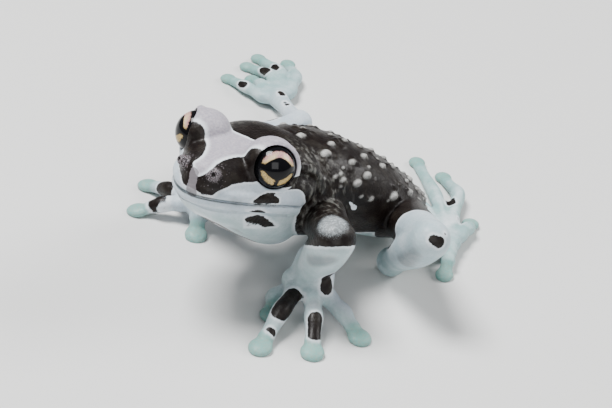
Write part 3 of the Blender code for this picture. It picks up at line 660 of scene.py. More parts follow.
def add_limbs(bm):
    for side, hint in (("left", 1), ("right", -1)):
        shoulder, elbow, wrist, palm = (joint(f"{side}_{part}") for part in ARM_JOINTS)
        hip, knee, heel, sole = (joint(f"{side}_{part}") for part in LEG_JOINTS)
        limb(bm, shoulder, elbow, UPPER_ARM)
        limb(bm, elbow, wrist, FOREARM, Vector((hint, 0, 0)))
        limb(bm, wrist, palm, HAND, HAND_HINT)
        limb(bm, hip, knee, THIGH)
        limb(bm, knee, heel, SHANK)
        limb(bm, heel, sole, TARSUS)
        ball(bm, Matrix.Translation(heel), [HEEL_KNOB] * 3)
        ball(bm, Matrix.Translation(PALM_BALLS[side]), [PALM_BALL] * 3)


def digit_sizes(name):
    if "finger" in name:
        return FINGER_WIDTH, FINGER_PAD
    return TOE_WIDTH, TOE_PAD


def digit_path(name):
    """Root joint, root, knuckle and tip of a digit."""
    root, knuckle, tip = DIGITS[name]
    side = name.split("_")[0]
    base = JOINTS[side + ("_palm" if "finger" in name else "_sole")]
    return [Vector(point) for point in (base, root, knuckle, (tip[0], tip[1], PAD_RISE))]


def add_digits(bm):
    for name in DIGITS:
        width, pad = digit_sizes(name)
        base, root, knuckle, tip = digit_path(name)
        along = (tip - knuckle).normalized()
        neck = tip - along * pad.y * NECK_SHARE
        stations = (base, root, root.lerp(knuckle, 0.5), knuckle, knuckle.lerp(neck, DIGIT_END), neck)
        tube(bm, [(*point, width * wide, width * high)
                  for point, (wide, high) in zip(stations, DIGIT_PROFILE)])
        level = Vector((along.x, along.y, along.z * PAD_LEVEL_SHARE)).normalized()
        ball(bm, Matrix.Translation(tip) @ facing(level), pad, PAD_DETAIL)


def add_webs(bm):
    """Skin between neighbouring toes of each hind foot."""
    for side in ("left", "right"):
        for number in range(1, 5):
            paths = [digit_path(f"{side}_toe_{number + step}") for step in (0, 1)]
            near = [path[0].lerp(path[1], WEB_START) for path in paths]
            far = [path[1].lerp(path[2], WEB_REACH) for path in paths]
            start, end = near[0].lerp(near[1], 0.5), far[0].lerp(far[1], 0.5)
            spread = (far[0] - far[1]).length
            if spread < WEB_SPREAD_LIMIT * (end - start).length:
                tube(bm, [(*start, WEB_ROOT_WIDTH, WEB_THICKNESS), (*end, 0.5 * spread, WEB_THICKNESS)])


def back_point(share, across):
    """Point of the back's surface: share from nape to rump, across -1 to 1."""
    rows = smooth_rows(TRUNK_SECTIONS, BACK_STEPS)
    y, middle, wide, top, bottom = rows[round(share * (len(rows) - 1))]
    level = 0.5 * (top + bottom) - TRUNK_LEVEL_DROP
    side, rise = superellipse(math.pi / 2 * (1 - across), TRUNK_SQUARENESS)
    return Vector((middle + wide * side, y, level + (top - level) * rise))


def wart_places():
    """Centres and half sizes of the large warts and of the small ones between them."""
    draw = random.Random(WART_SEED)
    large = []
    for row in range(WART_ROWS):
        share = WART_FIELD_START + WART_FIELD_LENGTH * row / (WART_ROWS - 1)
        for column in range(WARTS_IN_ROW):
            across = 2.0 * (column + 0.5 * (row % 2)) / (WARTS_IN_ROW - 0.5) - 1.0
            across = WART_FIELD_SPREAD * across + draw.uniform(-WART_JITTER_ACROSS, WART_JITTER_ACROSS)
            size = WART_RADIUS * draw.uniform(*WART_RADIUS_RANGE)
            point = back_point(share + draw.uniform(-WART_JITTER_ALONG, WART_JITTER_ALONG), across)
            length = size * draw.uniform(*WART_LENGTH_RANGE)
            large.append((point, Vector((size, length, WART_HEIGHT * size))))
    small = []
    for _ in range(SMALL_WARTS):
        share = draw.uniform(*SMALL_WART_ALONG)
        point = back_point(share, draw.uniform(-SMALL_WART_ACROSS, SMALL_WART_ACROSS))
        size = SMALL_WART_RADIUS * draw.uniform(*SMALL_WART_RANGE)
        small.append((point, size * Vector(SMALL_WART_SHAPE)))
    return large, small


def to_object(bm, name):
    mesh = bpy.data.meshes.new(name)
    bm.to_mesh(mesh)
    bm.free()
    piece = bpy.data.objects.new(name, mesh)
    bpy.context.scene.collection.objects.link(piece)
    return piece


def solid(name, fill, *values, **settings):
    """Closed object from a function that fills a bmesh."""
    bm = bmesh.new()
    fill(bm, *values, **settings)
    bmesh.ops.recalc_face_normals(bm, faces=bm.faces)
    return to_object(bm, name)


def apply_modifiers(piece):
    """Replace an object's mesh with its evaluated mesh."""
    graph = bpy.context.evaluated_depsgraph_get()
    mesh = bpy.data.meshes.new_from_object(piece.evaluated_get(graph))
    piece.modifiers.clear()
    old = piece.data
    piece.data = mesh
    bpy.data.meshes.remove(old)


def wart_tree():
    """Node tree that sets a ball on each point, stretched by the point's size."""
    tree = bpy.data.node_groups.new("Wart field", "GeometryNodeTree")
    tree.interface.new_socket("Geometry", in_out="INPUT", socket_type="NodeSocketGeometry")
    growth = tree.interface.new_socket("Growth", in_out="INPUT", socket_type="NodeSocketFloat")
    growth.default_value = 1.0
    finish = tree.interface.new_socket("Material", in_out="INPUT", socket_type="NodeSocketMaterial")
    tree.interface.new_socket("Geometry", in_out="OUTPUT", socket_type="NodeSocketGeometry")
    nodes = tree.nodes
    given = nodes.new("NodeGroupInput")
    result = nodes.new("NodeGroupOutput")
    size = nodes.new("GeometryNodeInputNamedAttribute")
    size.data_type = "FLOAT_VECTOR"
    size.inputs["Name"].default_value = "size"
    grown = nodes.new("ShaderNodeVectorMath")
    grown.operation = "SCALE"
    round_wart = nodes.new("GeometryNodeMeshIcoSphere")
    round_wart.inputs["Radius"].default_value = 1.0
    round_wart.inputs["Subdivisions"].default_value = WART_DETAIL
    place = nodes.new("GeometryNodeInstanceOnPoints")
    real = nodes.new("GeometryNodeRealizeInstances")
    dress = nodes.new("GeometryNodeSetMaterial")
    for source, outlet, target, inlet in (
            (size, "Attribute", grown, 0),
            (given, "Growth", grown, "Scale"),
            (given, "Geometry", place, "Points"),
            (round_wart, "Mesh", place, "Instance"),
            (grown, "Vector", place, "Scale"),
            (place, "Instances", real, "Geometry"),
            (real, "Geometry", dress, "Geometry"),
            (given, "Material", dress, "Material"),
            (dress, "Geometry", result, "Geometry")):
        tree.links.new(source.outputs[outlet], target.inputs[inlet])
    return tree, growth.identifier, finish.identifier


def wart_field(material):
    """All warts of the back as one mesh object."""
    large, small = wart_places()
    places = large + small
    mesh = bpy.data.meshes.new("warts")
    mesh.from_pydata([point for point, size in places], [], [])
    sizes = mesh.attributes.new("size", "FLOAT_VECTOR", "POINT")
    sizes.data.foreach_set("vector", np.array([size for point, size in places]).ravel())
    field = bpy.data.objects.new("warts", mesh)
    bpy.context.scene.collection.objects.link(field)
    tree, growth, finish = wart_tree()
    grow = field.modifiers.new("Warts", "NODES")
    grow.node_group = tree
    grow[growth] = 1.0
    grow[finish] = material
    apply_modifiers(field)
    return field


def body_form(voxel, material):
    """The whole body fused as one closed surface, in millimetres."""
    bm = bmesh.new()
    add_head(bm)
    add_trunk(bm)
    add_limbs(bm)
    add_digits(bm)
    add_webs(bm)
    bmesh.ops.recalc_face_normals(bm, faces=bm.faces)
    warts = wart_field(material)
    bm.from_mesh(warts.data)
    bpy.data.objects.remove(warts)
    body = to_object(bm, "skin")
    remesh = body.modifiers.new("Fuse", "REMESH")
    remesh.mode = "VOXEL"
    remesh.voxel_size = voxel / MM
    smooth = body.modifiers.new("Smooth", "SMOOTH")
    smooth.factor = SMOOTH_SHARE
    smooth.iterations = SMOOTH_STEPS
    apply_modifiers(body)
    return body


def mouth_wedge():
    """Thin curved sheet that cuts the line of the mouth into the lips."""
    lift = 0.5 * MOUTH_GROOVE
    corners = ((GROOVE_START, -lift), (GROOVE_END, -lift * GROOVE_END_SHARE),
               (GROOVE_END, lift * GROOVE_END_SHARE), (GROOVE_START, lift))
    lines = [lip_line(MOUTH_STEPS, inset, drop) for inset, drop in corners]
    return solid("mouth_wedge", skin_rings, list(zip(*lines)))


def body_cuts():
    """What lies below the floor, the line and the crease of the mouth, sockets and nostrils."""
    below = Matrix.Translation((0, 0, -0.5 * FLOOR_CUT[2])) @ Matrix.Diagonal((*FLOOR_CUT, 1.0))
    crease = lip_line(MOUTH_STEPS, LIP_CREASE_INSET, LIP_CREASE_DROP, LIP_CREASE_TRIM)
    cuts = [mouth_wedge(), solid("lip_crease", even_tube, crease, LIP_CREASE)]
    for side in (-1, 1):
        place = eye_frame(side)
        opening = place @ Matrix.Translation((0, 0, RIM_LEVEL + 0.5 * OPENING_DEPTH))
        hole = head_place(NOSTRIL + NOSTRIL_HOLE_OFFSET, side)
        cuts += [
            solid("socket", ball, place, [EYE_RADIUS + SOCKET_GAP] * 3, FINE_BALL_DETAIL),
            solid("eye_opening", bmesh.ops.create_cone, cap_ends=True, segments=OPENING_SIDES,
                  radius1=EYE_OPENING, radius2=EYE_OPENING + OPENING_FLARE, depth=OPENING_DEPTH,
                  matrix=opening),
            solid("nostril", ball, hole, [NOSTRIL_HOLE] * 3, SMALL_BALL_DETAIL),
        ]
    return [solid("floor_block", bmesh.ops.create_cube, size=1.0, matrix=below)], cuts


def subtract(body, cutters):
    """Cut closed objects out of the body and remove them."""
    group = bpy.data.collections.new("cutters")
    bpy.context.scene.collection.children.link(group)
    for cutter in cutters:
        group.objects.link(cutter)
    cut = body.modifiers.new("Cut", "BOOLEAN")
    cut.operation = "DIFFERENCE"
    cut.operand_type = "COLLECTION"
    cut.collection = group
    cut.solver = "MANIFOLD"
    apply_modifiers(body)
    for cutter in cutters:
        bpy.data.objects.remove(cutter)
    bpy.data.collections.remove(group)


def outline_depth(points, outline):
    """Signed distance of plane points to an outline, positive inside it."""
    corners = np.array(outline)
    following = np.roll(corners, -1, axis=0)
    nearest = np.full(len(points), np.inf)
    inside = np.zeros(len(points), dtype=bool)
    for start, end in zip(corners, following):
        edge = end - start
        offset = points - start
        share = np.clip(offset @ edge / (edge @ edge), 0.0, 1.0)
        nearest = np.minimum(nearest, np.linalg.norm(offset - share[:, None] * edge, axis=1))
        crosses = (start[1] > points[:, 1]) != (end[1] > points[:, 1])
        rise = edge[1] if edge[1] else 1e-9
        inside ^= crosses & (points[:, 0] < edge[0] * (points[:, 1] - start[1]) / rise + start[0])
    return np.where(inside, nearest, -nearest)


def bar_distance(points, start, end):
    """Distance of points to a straight line between two ends."""
    start, end = np.array(start), np.array(end)
    edge = end - start
    length = max(edge @ edge, 1e-9)
    share = np.clip((points - start) @ edge / length, 0.0, 1.0)
    return np.linalg.norm(points - start - share[:, None] * edge, axis=1)


def trunk_depth(points):
    """Rough distance inside the trunk's surface, in mm."""
    rows = np.array(TRUNK_SECTIONS)
    y = points[:, 1]
    middle, wide, top, bottom = (np.interp(y, rows[:, 0], rows[:, column]) for column in range(1, 5))
    level = 0.5 * (top + bottom) - TRUNK_LEVEL_DROP
    reach = np.where(points[:, 2] > level, top - level, level - bottom)
    across = np.abs(points[:, 0] - middle) / wide
    upward = np.abs(points[:, 2] - level) / reach
    out = (across ** TRUNK_SQUARENESS + upward ** TRUNK_SQUARENESS) ** (1 / TRUNK_SQUARENESS) - 1.0
    return -out * np.minimum(wide, reach)


def set_mark(mesh, name, values):
    mark = mesh.attributes.new(name, "FLOAT", "POINT")
    mark.data.foreach_set("value", np.ascontiguousarray(values, dtype=np.float32))


def vertex_places(mesh):
    """Places of a mesh's points, one row each."""
    places = np.empty(len(mesh.vertices) * 3)
    mesh.vertices.foreach_get("co", places)
    return places.reshape(-1, 3)


def into_frame(points, place):
    """Points in the coordinates of a frame."""
    inverse = np.array(place.inverted())
    return points @ inverse[:3, :3].T + inverse[:3, 3]


def ball_distance(points, centre):
    return np.linalg.norm(points - np.array(centre), axis=1)


def highest(depths):
    """Greatest depth at each point."""
    return np.maximum.reduce(list(depths))


def lowest(*depths):
    """Least depth at each point."""
    return np.minimum.reduce(depths)


def unfold(head):
    """Head points on the unfolded skin, and the same from the other side."""
    drop = np.maximum(0.0, UNFOLD_LEVEL - head[:, 2])
    plane = np.stack((head[:, 0] * (1 + UNFOLD_SPREAD * drop), -head[:, 1] + UNFOLD_REACH * drop), axis=1)
    return plane, plane * np.array((-1.0, 1.0))


def dark_depth(points, head, planes, above_flank):
    """Depth in the dark skin: mask and back, marks of lip and throat, limb marks and arm bands."""
    mask = outline_depth(planes[0], rounded_outline(DARK_MASK))
    back = lowest(trunk_depth(points) + TRUNK_SKIN, above_flank, mask)
    dark = np.maximum(lowest(mask, DARK_MASK_END - head[:, 1]), back)
    limit = lowest(HEAD_MARKS_END - head[:, 1], head[:, 2] + THROAT_LIMIT.z, THROAT_LIMIT.y - head[:, 1])
    for plane in planes:
        for outline in (LIP_TEARDROP, THROAT_DARK):
            dark = np.maximum(dark, lowest(outline_depth(plane, rounded_outline(outline)), limit))
    start, end, radius = PALE_MARK
    dark = lowest(dark, bar_distance(points, start, end) - radius)
    bars = [radius - bar_distance(points, start, end) for start, end, radius in DARK_MARKS]
    dark = highest([dark, *bars])
    for start, end, radius, slope, foot in ARM_BANDS:
        above = (points - np.array(foot)) @ np.array(slope)
        dark = np.maximum(dark, lowest(radius - bar_distance(points, start, end), above))
    return dark


def grey_and_shade_depth(points, planes):
    """Depth in the grey marks of the upper lip and the limbs, which on the limbs are partly painted shade.
    """
    on_lip = [outline_depth(plane, LIP_DUSK) for plane in planes]
    on_limbs = [radius - bar_distance(points, start, end) for start, end, radius in GREY_AND_SHADE_BARS]
    return highest(on_lip + on_limbs)


def wart_depth(points):
    large, small = wart_places()
    return highest(size.x - np.linalg.norm((points - np.array(place)) * WART_STRETCH, axis=1)
                   for place, size in large + small[::3])


def rim_depth(points):
    """Depth in the black edges of the eye openings."""
    rims = []
    for side in (-1, 1):
        eye = into_frame(points, eye_frame(side))
        around = np.hypot(eye[:, 0], eye[:, 1]) - EYE_OPENING
        rims.append(np.where(eye[:, 2] > EYE_RIM_BACK, EYE_RIM - around, OUTSIDE))
    return highest(rims)


def digit_marks(points):
    """Depth in the pads, and share of blue-green on the digits and at the knee."""
    pads, tints = [], []
    for name in DIGITS:
        far = ball_distance(points, digit_path(name)[-1])
        pads.append(PAD_MARK - far)
        tints.append(1.0 - far / (FINGER_TINT if "finger" in name else TOE_TINT))
    knee = bar_distance(points, JOINTS["left_knee"], JOINTS["left_heel"])
    tints.append(KNEE_TINT - KNEE_FADE * knee)
    return highest(pads), np.clip(highest(tints), 0.0, 1.0)


def throat_share(points, head, above_flank):
    """Share of the greener white under the jaw and on the belly, darker there as painted shade."""
    start, length = THROAT_FADE
    below_jaw = np.clip((-head[:, 2] - start) / length, 0.0, 1.0)
    throat = below_jaw * np.clip(HEAD_MARKS_END - head[:, 1], 0.0, 1.0)
    skin, length = BELLY_FADE
    belly = np.clip(-above_flank / length, 0.0, 1.0) * np.clip(trunk_depth(points) + skin, 0.0, 1.0)
    return np.maximum(throat, belly)


def mark_skin(mesh):
    """Store how deep each point lies in each marking, in mm, or its share of a tint."""
    points = vertex_places(mesh)
    head = into_frame(points, HEAD)
    planes = unfold(head)
    above_flank = points[:, 2] - np.interp(points[:, 1], *np.array(FLANK_BORDER).T)
    pads, toes = digit_marks(points)
    shield = outline_depth(planes[0], rounded_outline(HEAD_SHIELD))
    stripe = outline_depth(planes[0], rounded_outline(SNOUT_STRIPE))
    line = [np.array(point) for point in lip_line(MOUTH_STEPS)]
    temples = [[HEAD @ mirrored(point, side) for point in TEMPLE] for side in (-1, 1)]
    marks = {
        "dark": dark_depth(points, head, planes, above_flank),
        "shield": lowest(shield, HEAD_MARKS_END - head[:, 1]),
        "stripe": lowest(stripe, head[:, 2] + STRIPE_LIMIT),
        # Grey marks, partly painted shade on the hand and limbs
        "soft": grey_and_shade_depth(points, planes),
        "wart": wart_depth(points),
        "speckle": lowest(*(ball_distance(head, mirrored(NOSTRIL, side)) for side in (1, -1))),
        "toes": toes,
        "pads": pads,
        "rim": rim_depth(points),
        # Where the painted sheen behind the eyes lies
        "temple": highest(TEMPLE_RADIUS - bar_distance(points, *ends) for ends in temples),
        # Underside share: greener, and darkened as painted shade
        "throat": throat_share(points, head, above_flank),
        "cap": highest(radius - ball_distance(points, centre) for centre, radius in ELBOW_CAPS),
        # Painted shade along the groove of the mouth
        "mouth": highest(MOUTH_SHADE_WIDTH - bar_distance(points, *ends) for ends in zip(line, line[1:])),
    }
    for name, values in marks.items():
        set_mark(mesh, name, values)


def build_colours():
    return bpy.context.scene.frog_colours


def build_sizes():
    return bpy.context.scene.frog_sizes


class Wiring:
    """Short calls for the nodes of one shader tree."""

    def __init__(self, tree):
        self.nodes = tree.nodes
        self.links = tree.links

    def put(self, socket, value):
        if isinstance(value, bpy.types.NodeSocket):
            self.links.new(value, socket)
        elif hasattr(value, "__len__"):
            parts = list(value)
            socket.default_value = parts + [1.0] if len(parts) == 3 and socket.type == "RGBA" else parts
        else:
            socket.default_value = value

    def mark(self, name):
        node = self.nodes.new("ShaderNodeAttribute")
        node.attribute_name = name
        return node.outputs["Fac"]

    def math(self, operation, first, second=0.0, clamp=False):
        node = self.nodes.new("ShaderNodeMath")
        node.operation = operation
        node.use_clamp = clamp
        self.put(node.inputs[0], first)
        self.put(node.inputs[1], second)
        return node.outputs["Value"]

    def times(self, first, second):
        return self.math("MULTIPLY", first, second)

    def plus(self, first, second):
        return self.math("ADD", first, second)

    def most(self, first, second):
        return self.math("MAXIMUM", first, second)

    def absolute(self, value):
        return self.math("ABSOLUTE", value)

    def step(self, value, low, high):
        """Smooth rise from 0 at low to 1 at high."""
        node = self.nodes.new("ShaderNodeMapRange")
        node.interpolation_type = "SMOOTHSTEP"
        self.put(node.inputs["Value"], value)
        node.inputs["From Min"].default_value = low
        node.inputs["From Max"].default_value = high
        return node.outputs["Result"]

    def fall(self, value, low, high):
        """Smooth fall from 1 at low to 0 at high."""
        return self.math("SUBTRACT", 1.0, self.step(value, low, high))

    def lay(self, under, over, share, strength):
        """Lay a colour over another with a strength where the share is full."""
        return self.mix(self.times(share, strength), under, over)

    def mix(self, share, first, second):
        node = self.nodes.new("ShaderNodeMix")
        node.data_type = "RGBA"
        self.put(node.inputs["Factor"], share)
        self.put(node.inputs["A"], first)
        self.put(node.inputs["B"], second)
        return node.outputs["Result"]

    def noise(self, vector, scale, detail):
        node = self.nodes.new("ShaderNodeTexNoise")
        self.put(node.inputs["Vector"], vector)
        node.inputs["Scale"].default_value = scale
        node.inputs["Detail"].default_value = detail
        return node.outputs["Fac"]

    def ripple(self, vector, scale, detail, height):
        """Noise about zero, for shifting an edge."""
        return self.times(self.math("SUBTRACT", self.noise(vector, scale, detail), 0.5), height)

    def cells(self, vector, scale):
        node = self.nodes.new("ShaderNodeTexVoronoi")
        self.put(node.inputs["Vector"], vector)
        node.inputs["Scale"].default_value = scale
        return node.outputs["Distance"]

    def stretched(self, vector, factors):
        node = self.nodes.new("ShaderNodeVectorMath")
        node.operation = "MULTIPLY"
        self.put(node.inputs[0], vector)
        node.inputs[1].default_value = factors
        return node.outputs["Vector"]

    def place(self):
        """Object coordinates in millimetres."""
        node = self.nodes.new("ShaderNodeTexCoord")
        return self.stretched(node.outputs["Object"], (1 / MM, 1 / MM, 1 / MM))


def new_group(name, inputs, outputs):
    """Empty shader group with named sockets: (name, socket type, default)."""
    tree = bpy.data.node_groups.new(name, "ShaderNodeTree")
    for label, kind, value in inputs:
        socket = tree.interface.new_socket(label, in_out="INPUT", socket_type=kind)
        if value is not None:
            socket.default_value = value
    for label, kind in outputs:
        tree.interface.new_socket(label, in_out="OUTPUT", socket_type=kind)
    given = tree.nodes.new("NodeGroupInput")
    result = tree.nodes.new("NodeGroupOutput")
    return tree, given, result


def ragged_edge_group():
    """Marking mask from a depth in mm, with a ragged edge and a pale border."""
    tree, given, result = new_group(
        "Ragged edge",
        (("Depth", "NodeSocketFloat", 0.0), ("Raggedness", "NodeSocketFloat", 0.3)),
        (("Mask", "NodeSocketFloat"), ("Border", "NodeSocketFloat")))
    wire = Wiring(tree)
    place = wire.place()
    ripples = wire.plus(wire.ripple(place, *EDGE_COARSE), wire.ripple(place, *EDGE_FINE))
    depth = wire.plus(given.outputs["Depth"], wire.times(ripples, given.outputs["Raggedness"]))
    wire.put(result.inputs["Mask"], wire.step(depth, *MASK_EDGE))
    border = wire.times(wire.step(depth, *BORDER_OUTSIDE), wire.fall(depth, *BORDER_INSIDE))
    wire.put(result.inputs["Border"], border)
    return tree


def pebbles_group():
    """Height of the fine pebbles and pores of the skin, 0 to 1."""
    tree, given, result = new_group(
        "Pebbles", (("Size", "NodeSocketFloat", 1.0),), (("Height", "NodeSocketFloat"),))
    wire = Wiring(tree)
    place = wire.place()
    total = wire.times(wire.noise(place, *WRINKLES), WRINKLE_HEIGHT)
    for scale, height in PEBBLES:
        total = wire.plus(total, wire.times(wire.math("SUBTRACT", 1.0, wire.cells(place, scale)), height))
    wire.put(result.inputs["Height"], wire.times(total, given.outputs["Size"]))
    return tree


def ragged_mark(wire, group, name, raggedness):
    """Mask and pale border of a marking."""
    node = wire.nodes.new("ShaderNodeGroup")
    node.node_tree = group
    wire.put(node.inputs["Depth"], wire.mark(name))
    node.inputs["Raggedness"].default_value = raggedness
    return node.outputs["Mask"], node.outputs["Border"]


def new_material(name, finish):
    """Material with constants on its shader's sockets."""
    material = bpy.data.materials.new(name)
    material.use_nodes = True
    shader = material.node_tree.nodes["Principled BSDF"]
    for socket, value in finish.items():
        shader.inputs[socket].default_value = value
    return material, Wiring(material.node_tree), shader


def pale_skin(wire, place, grain):
    """Bluish lips, belly and limbs, with teal digits, grey marks partly painted shade and an underside
    darkened as painted shade.
    """
    colours = build_colours()
    pads = wire.mark("pads")
    # The underside is greener and darker: its darkness is painted shade
    base = wire.mix(wire.mark("throat"), colours.pale, colours.throat)
    base = wire.mix(wire.mark("toes"), base, colours.toes)
    base = wire.lay(base, colours.border, wire.step(wire.noise(place, *MOTTLE), 0.35, 0.75), 0.35)
    base = wire.lay(base, colours.toes, wire.step(grain, 0.45, 0.75), 0.22)
    # Grey marks, partly painted shade on the hand and limbs
    base = wire.lay(base, colours.shade_and_mark_grey, wire.step(wire.mark("soft"), -0.6, 0.7), 0.6)
    base = wire.lay(base, colours.toes, wire.step(pads, -0.6, 0.8), 0.8)
    blush = wire.times(wire.step(pads, 0.1, 0.6), wire.step(grain, 0.4, 0.62))
    return wire.lay(base, colours.blush, blush, 0.12)


def nostril_specks(wire, place, fine):
    """Pale specks round the nostrils, densest on a ring."""
    away = wire.mark("speckle")
    dots = wire.times(wire.fall(wire.cells(place, SPECK_CELLS), 0.16, 0.30),
                      wire.times(wire.fall(away, 0.6, 3.4), wire.step(fine, 0.35, 0.6)))
    ring = wire.times(wire.fall(away, 0.9, 1.7), wire.step(away, 0.55, 0.8))
    return wire.most(dots, wire.times(ring, wire.step(fine, 0.48, 0.62)))


def dark_skin(wire, place, grain, fine):
    """Brown with patches of painted sheen, streaks of painted sheen behind the eyes, specks, warts and
    frosted elbows.
    """
    colours = build_colours()
    # Painted sheen in streaks behind the eyes
    streaks = wire.noise(wire.stretched(place, STREAK_SHAPE), *SHEEN_STREAKS)
    sheen = wire.times(wire.step(streaks, 0.48, 0.72), wire.step(wire.mark("temple"), -4.0, 2.0))
    # Painted sheen of the wet back: patches of olive grey over the brown
    sheen_clouds = wire.step(wire.noise(place, *SHEEN_CLOUDS), 0.42, 0.70)
    brown = wire.lay(colours.dark, colours.back, sheen_clouds, 0.55)
    brown = wire.lay(brown, colours.sheen, sheen, 0.6)
    brown = wire.mix(nostril_specks(wire, place, fine), brown, colours.specks)
    wart = wire.step(wire.plus(wire.mark("wart"), wire.times(fine, 0.4)), 0.10, 0.60)
    brown = wire.mix(wart, brown, colours.wart)
    cap = wire.plus(wire.mark("cap"), wire.times(wire.math("SUBTRACT", fine, 0.5), 3.0))
    frost = wire.mix(wire.step(grain, 0.4, 0.7), colours.frost_shade, colours.frost)
    return wire.lay(brown, frost, wire.step(cap, -0.2, 1.2), 0.9)


def skin_material():
    colours = build_colours()
    material, wire, shader = new_material("Moist marked skin", SKIN_FINISH)
    place = wire.place()
    grain, fine = wire.noise(place, *GRAIN), wire.noise(place, *FINE)
    edge = ragged_edge_group()
    dark_mask, dark_border = ragged_mark(wire, edge, "dark", 0.45)
    shield_mask, _ = ragged_mark(wire, edge, "shield", 0.25)
    stripe_mask, _ = ragged_mark(wire, edge, "stripe", 0.5)

    base = wire.lay(pale_skin(wire, place, grain), colours.border, dark_border, 0.8)
    skin = wire.mix(dark_mask, base, dark_skin(wire, place, grain, fine))
    lid = wire.mix(wire.step(grain, 0.35, 0.7), colours.shield, colours.lid)
    lid = wire.mix(wire.step(wire.mark("shield"), 0.05, 0.9), colours.border, lid)
    skin = wire.mix(shield_mask, skin, lid)
    skin = wire.lay(skin, colours.stripe, stripe_mask, 0.85)
    skin = wire.mix(wire.step(wire.mark("rim"), -0.12, 0.12), skin, colours.rim)
    # Painted shade darkens the groove of the mouth
    skin = wire.lay(skin, colours.mouth, wire.step(wire.mark("mouth"), -0.12, 0.08), 0.85)
    wire.put(shader.inputs["Base Color"], skin)
    wire.put(shader.inputs["Roughness"], wire.plus(wire.times(grain, SKIN_ROUGHNESS), SKIN_ROUGHNESS))

    pebbles = wire.nodes.new("ShaderNodeGroup")
    pebbles.node_tree = pebbles_group()
    bump = wire.nodes.new("ShaderNodeBump")
    bump.inputs["Distance"].default_value = build_sizes().grain
    wire.put(bump.inputs["Height"], pebbles.outputs["Height"])
    wire.put(shader.inputs["Normal"], bump.outputs["Normal"])
    return material


def iris_mask(wire, across, upward, radius):
    """Where the iris is golden: round the pupil, parted by its level arms and the one below."""
    sizes = build_sizes()
    ragged = wire.ripple(wire.place(), *IRIS_RAGGED)
    wide, high = wire.absolute(across), wire.absolute(upward)
    lozenge = [wire.math("POWER", wire.math("DIVIDE", reach, half), PUPIL_POWER)
               for reach, half in ((wide, sizes.pupil_width), (high, sizes.pupil_height))]
    pupil = wire.step(wire.plus(wire.plus(*lozenge), ragged), *PUPIL_EDGE)
    ragged_radius = wire.plus(radius, ragged)
    lower_arm = wire.most(wire.step(wire.plus(wide, ragged), *LOWER_ARM), wire.step(upward, -0.1, 0.1))
    mask = wire.times(pupil, wire.fall(ragged_radius, *IRIS_EDGE))
    mask = wire.times(mask, wire.step(wire.plus(high, ragged), *LEVEL_ARM))
    mask = wire.times(mask, lower_arm)
    return wire.times(mask, wire.most(wire.step(ragged_radius, *INNER_EDGE), wire.step(upward, 0.35, 0.5)))


def iris_colour(wire, across, upward, radius):
    """Veined gold, paler above, with pink at the top and along the upper rim."""
    colours = build_colours()
    veins = wire.noise(wire.place(), *VEINS)
    gold = wire.mix(wire.step(veins, 0.42, 0.62), colours.deep_gold, colours.gold)
    gold = wire.lay(gold, colours.light_gold, wire.step(upward, 0.1, 0.6), 0.55)
    top = wire.times(wire.fall(wire.absolute(across), 0.10, 0.34), wire.step(upward, 0.3, 0.6))
    outer = wire.times(wire.step(radius, 0.74, 0.9), wire.step(upward, 0.2, 0.5))
    return wire.mix(wire.times(wire.most(top, outer), wire.step(veins, 0.38, 0.55)), gold, colours.pink)


def eye_material():
    material, wire, shader = new_material("Golden eye", EYE_FINISH)
    across, upward = wire.mark("across"), wire.mark("upward")
    radius = wire.math("SQRT", wire.plus(wire.times(across, across), wire.times(upward, upward)))
    mask = iris_mask(wire, across, upward, radius)
    gold = iris_colour(wire, across, upward, radius)
    wire.put(shader.inputs["Base Color"], wire.mix(mask, build_colours().pupil, gold))
    return material


def place_by_eye():
    """Millimetres of the pose to metres of the frame, from the left eye's place."""
    low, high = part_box("left_eye")
    wanted = (low + high) * 0.5
    found = (eye_frame(1) @ Vector((0, 0, 0))) * MM
    return Matrix.Translation(wanted - found) @ Matrix.Scale(MM, 4)


def skin_nodes():
    return [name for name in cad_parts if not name.endswith("_eye")]


class FROG_OT_skin(bpy.types.Operator):
    """Build the marked skin over the whole body"""
    bl_idname = "frog.skin"
    bl_label = "Skin"

    def execute(self, context):
        material = skin_material()
        body = body_form(build_sizes().voxel, material)
        for cuts in body_cuts():
            subtract(body, cuts)
        mesh = body.data
        keep_largest(mesh)
        mark_skin(mesh)
        mesh.transform(place_by_eye())
        mesh.shade_smooth()
        mesh.materials.clear()
        mesh.materials.append(material)
        if len(mesh.vertices) < LEAST_POINTS:
            raise RuntimeError("the skin is empty")
        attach(body, "root")
        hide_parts(*skin_nodes())
        return {"FINISHED"}


def keep_largest(mesh):
    """Delete all but the largest closed surface."""
    bm = bmesh.new()
    bm.from_mesh(mesh)
    left = set(bm.verts)
    groups = []
    while left:
        group, edge = set(), [left.pop()]
        while edge:
            vert = edge.pop()
            group.add(vert)
            for link in vert.link_edges:
                other = link.other_vert(vert)
                if other in left:
                    left.discard(other)
                    edge.append(other)
        groups.append(group)
    groups.sort(key=len)
    for group in groups[:-1]:
        bmesh.ops.delete(bm, geom=list(group), context="VERTS")
    bm.to_mesh(mesh)
    bm.free()


